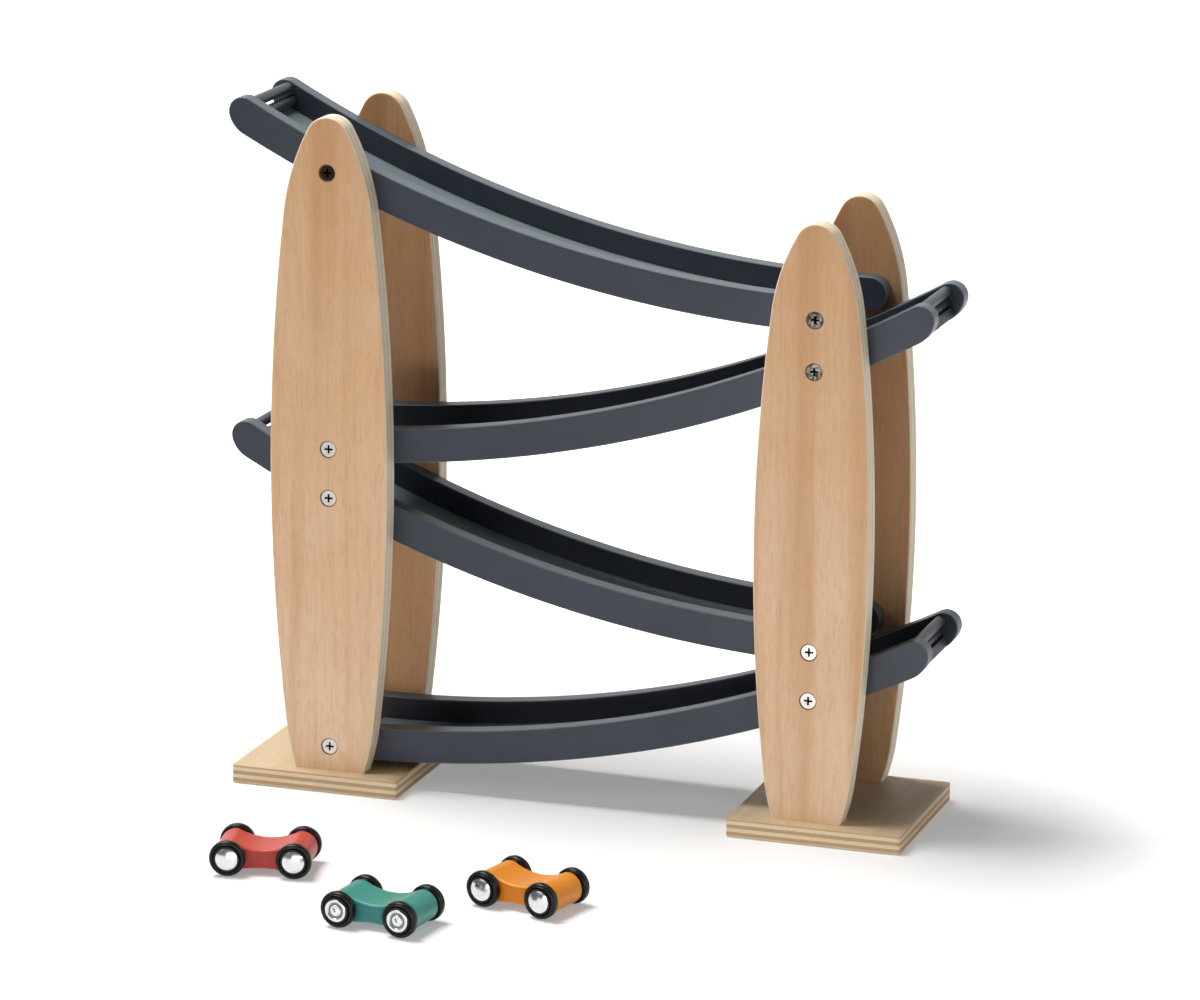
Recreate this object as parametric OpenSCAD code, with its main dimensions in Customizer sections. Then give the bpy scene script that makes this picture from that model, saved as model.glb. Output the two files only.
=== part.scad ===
// Click clack track: four curved ramps zigzag down between two pairs of plywood uprights
// that stand on two bases, and three small cars stand in front of it.
// Millimetres. X runs along the track, Y runs back from the viewer and Z up from the floor.
// The origin is the middle of the set's footprint, on the floor.

/* [Stand] */
// Distance between the middles of the left and the right uprights
upright_spacing = 220; // [200:1:260]
// Width across a ramp, which is also the gap between the two uprights of a pair
ramp_w = 57.5; // [50:0.5:70]
// Distance from the origin back to the middle of the track
track_y = 91.5; // [85:0.5:130]

/* [Bases] */
// Length of each base along the track
base_l = 78; // [74:1:100]
// Thickness of the bases
base_t = 8.2; // [6:0.2:12]
// How far each base stands out in front of its uprights
base_front_margin = 6.5; // [2:0.5:15]
// How far each base stands out behind its uprights
base_back_margin = 0.5; // [0:0.1:10]
// How far the middle of each base lies outside the middle of its uprights
base_outset = 5; // [0:0.5:10]

/* [Uprights] */
// Thickness of the upright boards
upright_t = 10; // [8:0.5:14]
// Width of the two left uprights where they are widest
left_upright_w = 54.6; // [48:0.2:66]
// Width of the two right uprights where they are widest
right_upright_w = 51.2; // [46:0.2:66]
// Height of the left uprights above their highest screw
left_head_h = 24.4; // [20:0.1:50]
// Height of the right uprights above their highest screw
right_head_h = 41.2; // [20:0.1:60]

/* [Ramps] */
// Radius of the ramps' curve along the middle of their walls
ramp_r = 568; // [480:1:700]
// Height of the ramp walls
wall_h = 15.1; // [14:0.1:18]
// Thickness of the ramp walls
wall_t = 8; // [7:0.5:10]
// Depth of the channel that the cars run in
channel_d = 10.3; // [8:0.1:11]
// Thickness of the ramp floors
floor_t = 4; // [3:0.1:4.5]
// Fall of the top ramp from its upper to its lower screw
ramp_1_fall = 47.9; // [40:0.1:58]
// Fall of the second ramp
ramp_2_fall = 52.4; // [40:0.1:58]
// Fall of the third ramp
ramp_3_fall = 48.6; // [40:0.1:58]
// Fall of the bottom ramp
ramp_4_fall = 43.2; // [38:0.1:58]
// Length of a ramp from its upper screw to its tip
upper_reach = 55.2; // [46:0.1:64]
// Length of a ramp from its lower screw to the middle of its round lower end
lower_reach = 7.2; // [4:0.1:12]
// Radius of the upper side of a ramp's nose
nose_top_r = 6.5; // [5.5:0.1:6.8]
// Radius of the lower side of a ramp's nose
nose_bottom_r = 13; // [11:0.5:16]
// Gap between a ramp's lower end and the ramp below it
ramp_gap = 0.4; // [0.2:0.1:4]
// Gap between the bottom ramp and the base under it
base_gap = 3.45; // [2:0.05:8]
// Length of the open drop between the lower ends of a ramp's floor and walls
drop_l = 18; // [12:0.5:24]
// Distance from the walls' tips to the upper end of the floor
floor_tip_l = 8; // [7:0.5:9]

/* [Dowels] */
// Diameter of the dowels across the upper end of each ramp
dowel_d = 4.8; // [4:0.1:5.6]
// Depth of each dowel's seat in a ramp wall
dowel_seat = 5; // [3:0.5:6]
// Wood left between the tip dowel and the top edge of the walls
dowel_edge = 0.8; // [0.5:0.1:1.5]
// Distance from the walls' tips to the tip dowel's axis
dowel_tip_l = 6.5; // [5.8:0.1:8]
// Distance from the walls' tips to the stop dowel's axis
stop_tip_l = 10.6; // [10:0.1:14]

/* [Screws] */
// Diameter of the screws' countersunk heads
screw_head_d = 6.8; // [6:0.1:8]
// Diameter of the screws' shanks
screw_d = 3.5; // [3:0.1:4]
// Depth of the screw heads below the wood's surface
screw_recess = 0.5; // [0.3:0.1:1]
// Length of a ramp screw inside the ramp wall
ramp_screw_bite = 6; // [4:0.5:6.5]
// Length of a base screw inside the upright
base_screw_bite = 20; // [12:1:30]
// Distance between the two screws under each upright
base_screw_spacing = 16; // [13:0.5:20]
// Width of the arms of the cross recess in a screw head
recess_arm_w = 0.9; // [0.6:0.1:1.2]
// Length across the cross recess
recess_l = 3.8; // [3:0.1:4.6]
// Depth of the cross recess
recess_d = 1.3; // [0.8:0.1:1.6]

/* [Cars] */
// Distance between a car's axles
wheelbase = 28.5; // [25:0.5:36]
// Width of a car's body
car_body_w = 19.2; // [16:0.2:24]
// Gap between a car's body and the floor
car_clearance = 1.1; // [0.6:0.1:2]
// Depth of the dip in the top of a car's body
car_top_dip = 3.3; // [1.5:0.1:4]
// Depth of the arch under a car's body
car_arch = 1.7; // [0.8:0.1:2.5]
// Diameter of the tyres
tyre_d = 15.4; // [14:0.1:18]
// Width of the tyres
tyre_w = 4; // [3:0.1:5]
// Thickness of a tyre from its hub to its tread
tyre_t = 2.1; // [1.6:0.1:2.6]
// Width of the hubs
hub_w = 4.2; // [3.6:0.1:5]
// Gap between a car's body and its hubs
hub_gap = 0.4; // [0.3:0.1:1]
// Width of the black rim between a hub's cap and its tyre
hub_rim = 0.9; // [0.6:0.1:1.4]
// Depth of a cap's seat in its hub
cap_seat = 0.9; // [0.5:0.1:1.2]
// Height of a cap above its hub
cap_h = 1; // [0.6:0.1:1.6]
// Diameter of the axles
axle_d = 2.2; // [1.6:0.1:3]

/* [Places of the cars] */
// Distance of the red car's middle along the track
red_car_x = -93.9; // [-130:0.1:-85]
// Distance of the red car's middle from the origin, towards the track
red_car_y = -62.3; // [-75:0.1:-40]
// Turn of the red car's front away from the track's direction
red_car_turn = 11.4; // [-10:0.1:20]
// Distance of the green car's middle along the track
green_car_x = -21.6; // [-40:0.1:30]
// Distance of the green car's middle from the origin, towards the track
green_car_y = -113.4; // [-150:0.1:-110]
// Turn of the green car's front away from the track's direction
green_car_turn = -7.3; // [-15:0.1:10]
// Distance of the orange car's middle along the track
orange_car_x = 26.3; // [20:0.1:110]
// Distance of the orange car's middle from the origin, towards the track
orange_car_y = -70; // [-75:0.1:-40]
// Turn of the orange car's front away from the track's direction
orange_car_turn = -14; // [-20:0.1:10]

/* [Hidden] */
// Fits and overruns
glue_gap = 0.02;
push_fit = 0.02;
seat_fit = 0.05;
axle_fit = 0.06;
dowel_clear = 0.4;
overrun = 1;

// Shares of an upright's height and half width that shape its outline
widest_share = 0.477;
shoulder_rise_share = 0.73;
shoulder_narrow_share = 0.248;
tip_share = 0.367;

// Shares of a car's end radius, a tyre's width and a cap's size
ridge_share = 0.265;
crown_share = 0.65;
dish_shares = [[1, 0.62], [0.8, 0.62], [0.7, 0.12], [0.52, 0.12], [0.46, 0.5], [0.3, 0.5]];
dish_dome_share = 0.3;

// Colours
birch = [0.86, 0.72, 0.54];
charcoal = [0.28, 0.30, 0.34];
steel = [0.72, 0.72, 0.70];
black = [0.08, 0.08, 0.09];
chrome = [0.85, 0.86, 0.88];
car_colours = [[0.80, 0.30, 0.25], [0.24, 0.56, 0.49], [0.88, 0.56, 0.14]];

// Stand
half_spacing = upright_spacing / 2;
half_ramp_w = ramp_w / 2;
base_y = -half_ramp_w - upright_t - base_front_margin;
base_d = base_front_margin + ramp_w + 2 * upright_t + base_back_margin;

// Ramps, numbered from the top
ramp_falls = [ramp_1_fall, ramp_2_fall, ramp_3_fall, ramp_4_fall];
bottom_ramp = len(ramp_falls) - 1;
end_r = wall_h / 2;
end_ease = 0.04;
wall_top_r = ramp_r - end_r;
wall_bottom_r = ramp_r + end_r;
floor_top_r = wall_top_r + channel_d;
channel_w = ramp_w - 2 * wall_t;
dowel_l = channel_w + 2 * dowel_seat;
tip_dowel_r = wall_top_r + dowel_edge + dowel_d / 2;
stop_dowel_r = floor_top_r - dowel_clear - dowel_d / 2;

// Nose at the walls' upper ends: two arcs that touch each other and the walls' edges
nose_drop = nose_top_r + nose_bottom_r - wall_h;
nose_shift = sqrt(pow(nose_bottom_r - nose_top_r, 2) - pow(nose_drop, 2));
nose_meet = atan2(nose_shift, nose_drop);
nose_step = 6;

// Turn along the ramps' curve that a length along it takes
function arc_turn(length) = length / ramp_r * 180 / PI;

// Angles of the screws and the ends of ramp k, from straight below the curve's centre
function ramp_tilt(k) = atan(ramp_falls[k] / upright_spacing);
function half_turn(k) = asin(norm([upright_spacing, ramp_falls[k]]) / 2 / ramp_r);
function high_turn(k) = ramp_tilt(k) + half_turn(k);
function low_turn(k) = ramp_tilt(k) - half_turn(k);
function lower_turn(k) = low_turn(k) - arc_turn(lower_reach);
function tip_turn(k) = high_turn(k) + arc_turn(upper_reach);
function nose_turn(k) = tip_turn(k) - arc_turn(nose_top_r + nose_shift);
function tail_turn(k) = lower_turn(k) - arc_turn(end_r);

// Heights of the upper and lower screw of ramp k, stacked from the base up
function ramp_drop(k) = wall_h + ramp_gap + (lower_reach + end_r) * tan(high_turn(k + 1));
function low_z(k) = k == bottom_ramp ? base_t + base_gap + end_r : high_z(k + 1) + ramp_drop(k);
function high_z(k) = low_z(k) + ramp_falls[k];
function screw_z(k, side) = (k % 2 == 0) == (side < 0) ? high_z(k) : low_z(k);

// Uprights
left_top = high_z(0) + left_head_h;
right_top = low_z(0) + right_head_h;

// Screws
head_r = screw_head_d / 2;
shank_r = screw_d / 2;
head_h = head_r - shank_r;
ramp_screw_l = upright_t - screw_recess + ramp_screw_bite;
base_screw_l = base_t - screw_recess + base_screw_bite;

// Cars
cars = [
    [red_car_x, red_car_y, red_car_turn],
    [green_car_x, green_car_y, green_car_turn],
    [orange_car_x, orange_car_y, orange_car_turn]
];
car_names = ["red_car", "green_car", "orange_car"];
axle_names = ["front", "rear"];
axle_ends = [1, -1];
last_axle = len(axle_ends) - 1;
dished_car = 1;
tyre_r = tyre_d / 2;
axle_r = axle_d / 2;
car_end_r = tyre_r - car_clearance;
ridge_x = wheelbase / 2 - ridge_share * car_end_r;
ridge_h = car_end_r * sqrt(1 - ridge_share * ridge_share);
hub_r = tyre_r - tyre_t;
cap_r = hub_r - hub_rim;
hub_in = car_body_w / 2 + hub_gap;
hub_out = hub_in + hub_w;
cap_in = hub_out - cap_seat;
axle_l = 2 * cap_in - 2 * push_fit;

RAMP_NODES = ["near_wall", "far_wall", "floor", "tip_dowel", "stop_dowel"];
WHEEL_NODES = ["axle", "hubs", "tyres", "caps"];

$fa = 1;
$fs = 0.4;
large_arc_steps = 360;

// Places and shared shapes

// Stands its children in the middle of the track
module in_track() {
    translate([0, track_y, 0])
        children();
}

// Turns a shape drawn in X and Z, and grown towards the viewer, to stand in the track
module upright_plane(y) {
    translate([0, y, 0])
        rotate([90, 0, 0])
            children();
}

// Carries children drawn about ramp k's centre to their place: its front face lies at y
module on_ramp(k, y) {
    mirror([k % 2, 0, 0])
        translate([ramp_r * sin(high_turn(k)) - half_spacing, 0, 0])
            upright_plane(y)
                translate([0, high_z(k) + ramp_r * cos(high_turn(k))])
                    children();
}

// Puts children on a ramp's curve, at a turn from straight below its centre
module along_ramp(turn, radius) {
    rotate([0, 0, -90 - turn])
        translate([radius, 0])
            children();
}

// Part of a ring between two turns from straight below its centre
module ring_sector(inner_r, outer_r, from_turn, to_turn, thickness) {
    rotate([0, 0, -90 - to_turn])
        rotate_extrude(angle = to_turn - from_turn)
            translate([inner_r, 0])
                square([outer_r - inner_r, thickness]);
}

// Places of the ramp screws of one side of the track: +Z of a child points out of the wood
module at_ramp_screw(k, side_x, side_y) {
    translate([side_x * half_spacing, side_y * (half_ramp_w + upright_t), screw_z(k, side_x)])
        rotate([-90 * side_y, 0, 0])
            children();
}

// Places of the two screws under one upright: +Z of a child points down, out of the base
module at_base_screws(side_x, side_y) {
    for (side = [-1, 1])
        translate([
            side_x * half_spacing + side * base_screw_spacing / 2,
            side_y * (half_ramp_w + upright_t / 2),
            0
        ])
            rotate([180, 0, 0])
                children();
}

// Countersunk cross-head screw, with the wood's surface at z = 0
module screw(length) {
    neck_z = -screw_recess - head_h;
    end_z = -screw_recess - length;
    difference() {
        rotate_extrude()
            polygon([
                [0, -screw_recess],
                [head_r, -screw_recess],
                [shank_r, neck_z],
                [shank_r, end_z + shank_r],
                [0, end_z]
            ]);
        for (turn = [0, 90])
            rotate([0, 0, turn])
                translate([-recess_l / 2, -recess_arm_w / 2, -screw_recess - recess_d])
                    cube([recess_l, recess_arm_w, recess_d + overrun]);
    }
}

// Hole that a screw of that length is driven into, open at the wood's surface
module screw_hole(length) {
    neck_z = -screw_recess - head_h;
    hole_r = shank_r + seat_fit;
    rotate_extrude()
        polygon([
            [0, overrun],
            [hole_r + overrun - neck_z, overrun],
            [hole_r, neck_z],
            [hole_r, -screw_recess - length - seat_fit],
            [0, -screw_recess - length - seat_fit]
        ]);
}

// Bases

// Base under one pair of uprights
module base(side_x) {
    color(birch)
        in_track()
            difference() {
                translate([side_x * (half_spacing + base_outset) - base_l / 2, base_y, 0])
                    cube([base_l, base_d, base_t]);
                for (side_y = [-1, 1])
                    at_base_screws(side_x, side_y)
                        screw_hole(base_screw_l);
            }
}

module left_base() {
    base(-1);
}

module right_base() {
    base(1);
}

// Uprights

// Symmetric shape between two discs of that radius, centred at x = +-offset
module lens(offset, height, radius) {
    intersection_for (side = [-1, 1])
        translate([side * offset, height])
            circle(radius, $fn = large_arc_steps);
}

// Part of its children between two heights
module band(half_w, from_z, to_z) {
    intersection() {
        children();
        translate([-half_w, from_z])
            square([2 * half_w, to_z - from_z]);
    }
}

// Outline of an upright: long side arcs, tighter shoulders and a round tip, cut flat at its foot
module board_outline(half_w, top_z) {
    widest_z = widest_share * top_z;
    rise = shoulder_rise_share * (top_z - widest_z);
    narrow = shoulder_narrow_share * half_w;
    side_r = (rise * rise + narrow * narrow) / (2 * narrow);
    lean = asin(rise / side_r);
    tip_r = tip_share * half_w;
    tip = [0, top_z - tip_r];
    shoulder = [half_w - narrow, widest_z + rise];
    inward = [-cos(lean), -sin(lean)];
    from_tip = shoulder - tip;
    shoulder_r = (tip_r * tip_r - from_tip * from_tip) / (2 * (from_tip * inward + tip_r));
    centre = shoulder + shoulder_r * inward;
    join = centre + shoulder_r * (tip - centre) / norm(tip - centre);
    band(half_w, widest_z - rise, widest_z + rise)
        lens(side_r - half_w, widest_z, side_r);
    band(half_w, widest_z, join[1])
        lens(centre[0], centre[1], shoulder_r);
    band(half_w, base_t, widest_z)
        lens(centre[0], 2 * widest_z - centre[1], shoulder_r);
    translate(tip)
        circle(tip_r);
}

// Upright on one side of the track, with the holes for its screws
module upright(side_x, side_y, width, top_z) {
    color(birch)
        in_track()
            difference() {
                translate([side_x * half_spacing, 0, 0])
                    upright_plane(side_y * (half_ramp_w + upright_t / 2) + upright_t / 2)
                        linear_extrude(upright_t)
                            board_outline(width / 2, top_z);
                for (k = [0:bottom_ramp])
                    at_ramp_screw(k, side_x, side_y)
                        screw_hole(ramp_screw_l);
                at_base_screws(side_x, side_y)
                    screw_hole(base_screw_l);
            }
}

module near_left_upright() {
    upright(-1, -1, left_upright_w, left_top);
}

module far_left_upright() {
    upright(-1, 1, left_upright_w, left_top);
}

module near_right_upright() {
    upright(1, -1, right_upright_w, right_top);
}

module far_right_upright() {
    upright(1, 1, right_upright_w, right_top);
}

// Ramps

// Places of the tip dowel and of the stop dowel, which lies further in and lower
module at_tip_dowel(k, y) {
    on_ramp(k, y)
        along_ramp(tip_turn(k) - arc_turn(dowel_tip_l), tip_dowel_r)
            children();
}

module at_stop_dowel(k, y) {
    on_ramp(k, y)
        along_ramp(tip_turn(k) - arc_turn(stop_tip_l), stop_dowel_r)
            children();
}

// Point on a ramp's plane at a turn from straight below its centre
function ramp_point(turn, radius) = [-radius * sin(turn), -radius * cos(turn)];

// Points of an arc about a centre, from pointing down out of the ramp towards pointing at its tip
function nose_arc(centre, radius, turn, from_a, to_a) = [
    for (a = [from_a:nose_step:to_a])
        centre + radius * (cos(a) * ramp_point(turn, 1) + sin(a) * ramp_point(turn + 90, 1))
];

// Curved band between two turns, open at both ends
module band_sector(from_turn, to_turn) {
    reach = wall_bottom_r / cos((to_turn - from_turn) / 2) + overrun;
    intersection() {
        difference() {
            circle(wall_bottom_r, $fn = large_arc_steps);
            circle(wall_top_r, $fn = large_arc_steps);
        }
        polygon([[0, 0], ramp_point(from_turn, reach), ramp_point(to_turn, reach)]);
    }
}

// Outline of ramp k's walls about its curve's centre: a curved band with a nose and a round tail
module wall_outline(k) {
    turn = tip_turn(k) - arc_turn(nose_top_r);
    past = tip_turn(k) + arc_turn(overrun);
    low = ramp_point(nose_turn(k), wall_bottom_r - nose_bottom_r);
    high = ramp_point(turn, wall_top_r + nose_top_r);
    difference() {
        band_sector(lower_turn(k), past);
        polygon(concat(
            [ramp_point(nose_turn(k), wall_bottom_r + overrun)],
            nose_arc(low, nose_bottom_r, turn, nose_step / 2, nose_meet),
            nose_arc(high, nose_top_r, turn, nose_meet, 180 - nose_step),
            [ramp_point(turn, wall_top_r - overrun)],
            [ramp_point(past + arc_turn(overrun), wall_top_r - overrun)],
            [ramp_point(past + arc_turn(overrun), wall_bottom_r + overrun)]
        ));
    }
    along_ramp(lower_turn(k), ramp_r)
        circle(end_r - end_ease);
}

// Side wall of ramp k on the near (-1) or far (1) side, drilled for its screws and dowels
module ramp_wall(k, side_y) {
    color(charcoal)
        in_track()
            difference() {
                on_ramp(k, side_y * (half_ramp_w - wall_t / 2) + wall_t / 2)
                    linear_extrude(wall_t)
                        wall_outline(k);
                for (side_x = [-1, 1])
                    at_ramp_screw(k, side_x, side_y)
                        screw_hole(ramp_screw_l);
                at_tip_dowel(k, dowel_l / 2 + seat_fit)
                    cylinder(r = dowel_d / 2 + seat_fit, h = dowel_l + 2 * seat_fit);
                at_stop_dowel(k, dowel_l / 2 + seat_fit)
                    cylinder(r = dowel_d / 2 + seat_fit, h = dowel_l + 2 * seat_fit);
            }
}

module ramp_near_wall(k) {
    ramp_wall(k, -1);
}

module ramp_far_wall(k) {
    ramp_wall(k, 1);
}

// Floor between the walls, which stops short of their lower ends to leave the drop
module ramp_floor(k) {
    floor_w = channel_w - 2 * glue_gap;
    color(charcoal)
        in_track()
            on_ramp(k, floor_w / 2)
                ring_sector(
                    floor_top_r,
                    floor_top_r + floor_t,
                    tail_turn(k) + arc_turn(drop_l),
                    tip_turn(k) - arc_turn(floor_tip_l),
                    floor_w
                );
}

module ramp_tip_dowel(k) {
    color(charcoal)
        in_track()
            at_tip_dowel(k, dowel_l / 2)
                cylinder(d = dowel_d, h = dowel_l);
}

module ramp_stop_dowel(k) {
    color(charcoal)
        in_track()
            at_stop_dowel(k, dowel_l / 2)
                cylinder(d = dowel_d, h = dowel_l);
}

// Screws

// One screw through each upright into each ramp wall that crosses it
module ramp_screws() {
    color(steel)
        in_track()
            for (k = [0:bottom_ramp], side_x = [-1, 1], side_y = [-1, 1])
                at_ramp_screw(k, side_x, side_y)
                    screw(ramp_screw_l);
}

// Two screws up through a base into each upright
module base_screws() {
    color(steel)
        in_track()
            for (side_x = [-1, 1], side_y = [-1, 1])
                at_base_screws(side_x, side_y)
                    screw(base_screw_l);
}

// Cars

// Stands its children where one car is: X to the car's front, Z up from the floor
module at_car(car) {
    translate([cars[car][0], cars[car][1], 0])
        rotate([0, 0, cars[car][2]])
            children();
}

// Carries children to one axle of a car
module at_axle(end) {
    translate([end * wheelbase / 2, 0, tyre_r])
        children();
}

// Repeats children on both ends of an axle: +Z of a child points out of the car
module both_wheels() {
    for (side = [-1, 1])
        rotate([-90 * side, 0, 0])
            children();
}

// Disc that cuts a hollow of that depth between the ridges, on the top (1) or bottom (-1)
module hollow(depth, side) {
    sag = depth - car_end_r + ridge_h;
    hollow_r = (ridge_x * ridge_x + sag * sag) / (2 * sag);
    translate([0, side * (car_end_r - depth + hollow_r)])
        circle(hollow_r);
}

// Side outline of a car's body about its axles' height: round ends and a hollowed middle
module body_outline() {
    for (end = axle_ends)
        translate([end * wheelbase / 2, 0])
            circle(car_end_r);
    difference() {
        square([wheelbase, 2 * ridge_h], center = true);
        hollow(car_top_dip, 1);
        hollow(car_arch, -1);
    }
}

module car_body(car) {
    color(car_colours[car])
        at_car(car)
            difference() {
                translate([0, 0, tyre_r])
                    upright_plane(car_body_w / 2)
                        linear_extrude(car_body_w)
                            body_outline();
                for (end = axle_ends)
                    at_axle(end)
                        upright_plane(car_body_w / 2 + overrun)
                            cylinder(r = axle_r + axle_fit, h = car_body_w + 2 * overrun);
            }
}

// Steel axle that turns with its two hubs
module wheel_axle() {
    color(steel)
        upright_plane(axle_l / 2)
            cylinder(r = axle_r, h = axle_l);
}

// Hubs pressed on an axle's ends, each with a seat for its cap
module wheel_hubs() {
    bore_r = axle_r + push_fit;
    seat_r = cap_r + push_fit;
    color(black)
        both_wheels()
            rotate_extrude()
                polygon([
                    [bore_r, hub_in],
                    [hub_r, hub_in],
                    [hub_r, hub_out],
                    [seat_r, hub_out],
                    [seat_r, cap_in],
                    [bore_r, cap_in]
                ]);
}

// Tyres round the hubs, crowned at the tread
module wheel_tyres() {
    crown_r = crown_share * tyre_w;
    middle = (hub_in + hub_out) / 2;
    color(black)
        both_wheels()
            rotate_extrude()
                intersection() {
                    translate([hub_r + push_fit, middle - tyre_w / 2])
                        square([tyre_t, tyre_w]);
                    translate([tyre_r - crown_r, middle])
                        circle(crown_r);
                }
}

// Domed caps in the hubs' seats
module domed_caps() {
    dome_r = (cap_r * cap_r + cap_h * cap_h) / (2 * cap_h);
    color(chrome)
        both_wheels()
            rotate_extrude() {
                translate([0, cap_in + push_fit])
                    square([cap_r, cap_seat - push_fit]);
                intersection() {
                    translate([0, hub_out + cap_h - dome_r])
                        circle(dome_r);
                    translate([0, hub_out])
                        square([cap_r, cap_h]);
                }
            }
}

// Dished caps with a stepped ring and a small dome in the middle
module dished_caps() {
    dome_w = dish_dome_share * cap_r;
    color(chrome)
        both_wheels()
            rotate_extrude()
                polygon(concat(
                    [[0, cap_in + push_fit], [cap_r, cap_in + push_fit]],
                    [for (share = dish_shares) [share[0] * cap_r, hub_out + share[1] * cap_h]],
                    [for (turn = [15:15:90])
                        [dome_w * cos(turn), hub_out + dish_shares[len(dish_shares) - 1][1] * cap_h
                            + (1 - dish_shares[len(dish_shares) - 1][1]) * cap_h * sin(turn)]]
                ));
}

module wheel_caps(car) {
    if (car == dished_car)
        dished_caps();
    else
        domed_caps();
}

// What is drawn

left_base();
right_base();
near_left_upright();
far_left_upright();
near_right_upright();
far_right_upright();
for (k = [0:bottom_ramp]) {
    ramp = str("ramp_", k + 1, "_");
    ramp_near_wall(k);
    ramp_far_wall(k);
    ramp_floor(k);
    ramp_tip_dowel(k);
    ramp_stop_dowel(k);
}
ramp_screws();
base_screws();
for (car = [0:len(cars) - 1]) {
    car_body(car);
    for (axle = [0:last_axle]) {
        wheels = str(car_names[car], "_", axle_names[axle], "_");
        at_car(car) at_axle(axle_ends[axle]) wheel_axle();
        at_car(car) at_axle(axle_ends[axle]) wheel_hubs();
        at_car(car) at_axle(axle_ends[axle]) wheel_tyres();
        at_car(car) at_axle(axle_ends[axle]) wheel_caps(car);
    }
}
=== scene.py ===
"""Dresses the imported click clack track: birch plywood uprights and bases, painted ramps, three cars.

Sizes are written in millimetres, as the solids have them, and become metres when a piece is made.
X runs along the track, Y back from the viewer and Z up from the floor.
"""

from __future__ import annotations

import logging
import math
from dataclasses import dataclass, field, replace
from enum import Enum
from typing import Any, Union

import bmesh
import bpy
import numpy as np
from mathutils import Matrix, Vector

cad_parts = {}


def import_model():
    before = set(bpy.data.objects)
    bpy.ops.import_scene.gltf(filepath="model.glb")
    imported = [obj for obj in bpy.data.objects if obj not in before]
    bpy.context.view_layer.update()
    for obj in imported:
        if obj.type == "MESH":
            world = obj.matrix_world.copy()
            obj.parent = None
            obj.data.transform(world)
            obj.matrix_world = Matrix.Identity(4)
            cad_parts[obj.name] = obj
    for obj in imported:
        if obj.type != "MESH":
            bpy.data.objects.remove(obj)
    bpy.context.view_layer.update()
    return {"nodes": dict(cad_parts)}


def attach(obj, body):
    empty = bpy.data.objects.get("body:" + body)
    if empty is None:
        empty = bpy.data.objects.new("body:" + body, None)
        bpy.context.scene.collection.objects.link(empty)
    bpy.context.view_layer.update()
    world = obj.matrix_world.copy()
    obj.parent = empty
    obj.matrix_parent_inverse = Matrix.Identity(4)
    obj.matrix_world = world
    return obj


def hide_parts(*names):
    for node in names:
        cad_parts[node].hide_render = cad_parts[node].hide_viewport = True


log = logging.getLogger("click_clack_track")
Array = np.ndarray
Triple = tuple[float, float, float]
Colour = Triple
MM = 0.001
# Points closer than the first are merged and edges shorter than the second dissolved, in metres
MERGE_GAP, SLIVER = 1e-6, 1e-7
# Edges sharper than this stay crisp, in degrees
CREASE = 35.0
# Steps round an eased edge, a screw hole and a wheel
EDGE_STEPS, HOLE_STEPS, WHEEL_STEPS = 5, 48, 96
# Flat rows beside an eased edge stand this many of its radii in from the corner
EDGE_MARGIN = 1.4
# Gain and start of the edge mark, which follows the sine of the edge's angle
EDGE_GAIN, EDGE_START = 1.6, 0.35
# Distance between the points of a rounded outline, in millimetres
OUTLINE_STEP = 0.3
# A face looks up where its normal's Z passes from the first to the second
LOOKS_UP = (0.5, 0.8)
# Factors that leave a pattern unstretched
EVEN: Triple = (1.0, 1.0, 1.0)
WHITE: Colour = (1.0, 1.0, 1.0)
BLACK: Colour = (0.0, 0.0, 0.0)


def paint(red: int, green: int, blue: int) -> Colour:
    """Linear colour of a display colour: ((c + 0.055) / 1.055) ** 2.4 above the dark toe.

    Args:
        red, green, blue: The colour's parts, 0 to 255.

    Returns:
        The linear colour.
    """
    c = np.array([red, green, blue]) / 255.0
    linear = np.where(c <= 0.04045, c / 12.92, ((c + 0.055) / 1.055) ** 2.4)
    return tuple(float(part) for part in linear)


class Side(Enum):
    """Which side of the track, along it or across it, a piece is on."""

    LOW = -1
    HIGH = 1

    @property
    def hand(self) -> str:
        """Name of the side along the track."""
        return "left" if self is Side.LOW else "right"

    @property
    def rank(self) -> str:
        """Name of the side across the track."""
        return "near" if self is Side.LOW else "far"


class CapShape(Enum):
    """Form of the caps in a car's hubs."""

    DOMED = "domed"
    DISHED = "dished"


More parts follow.
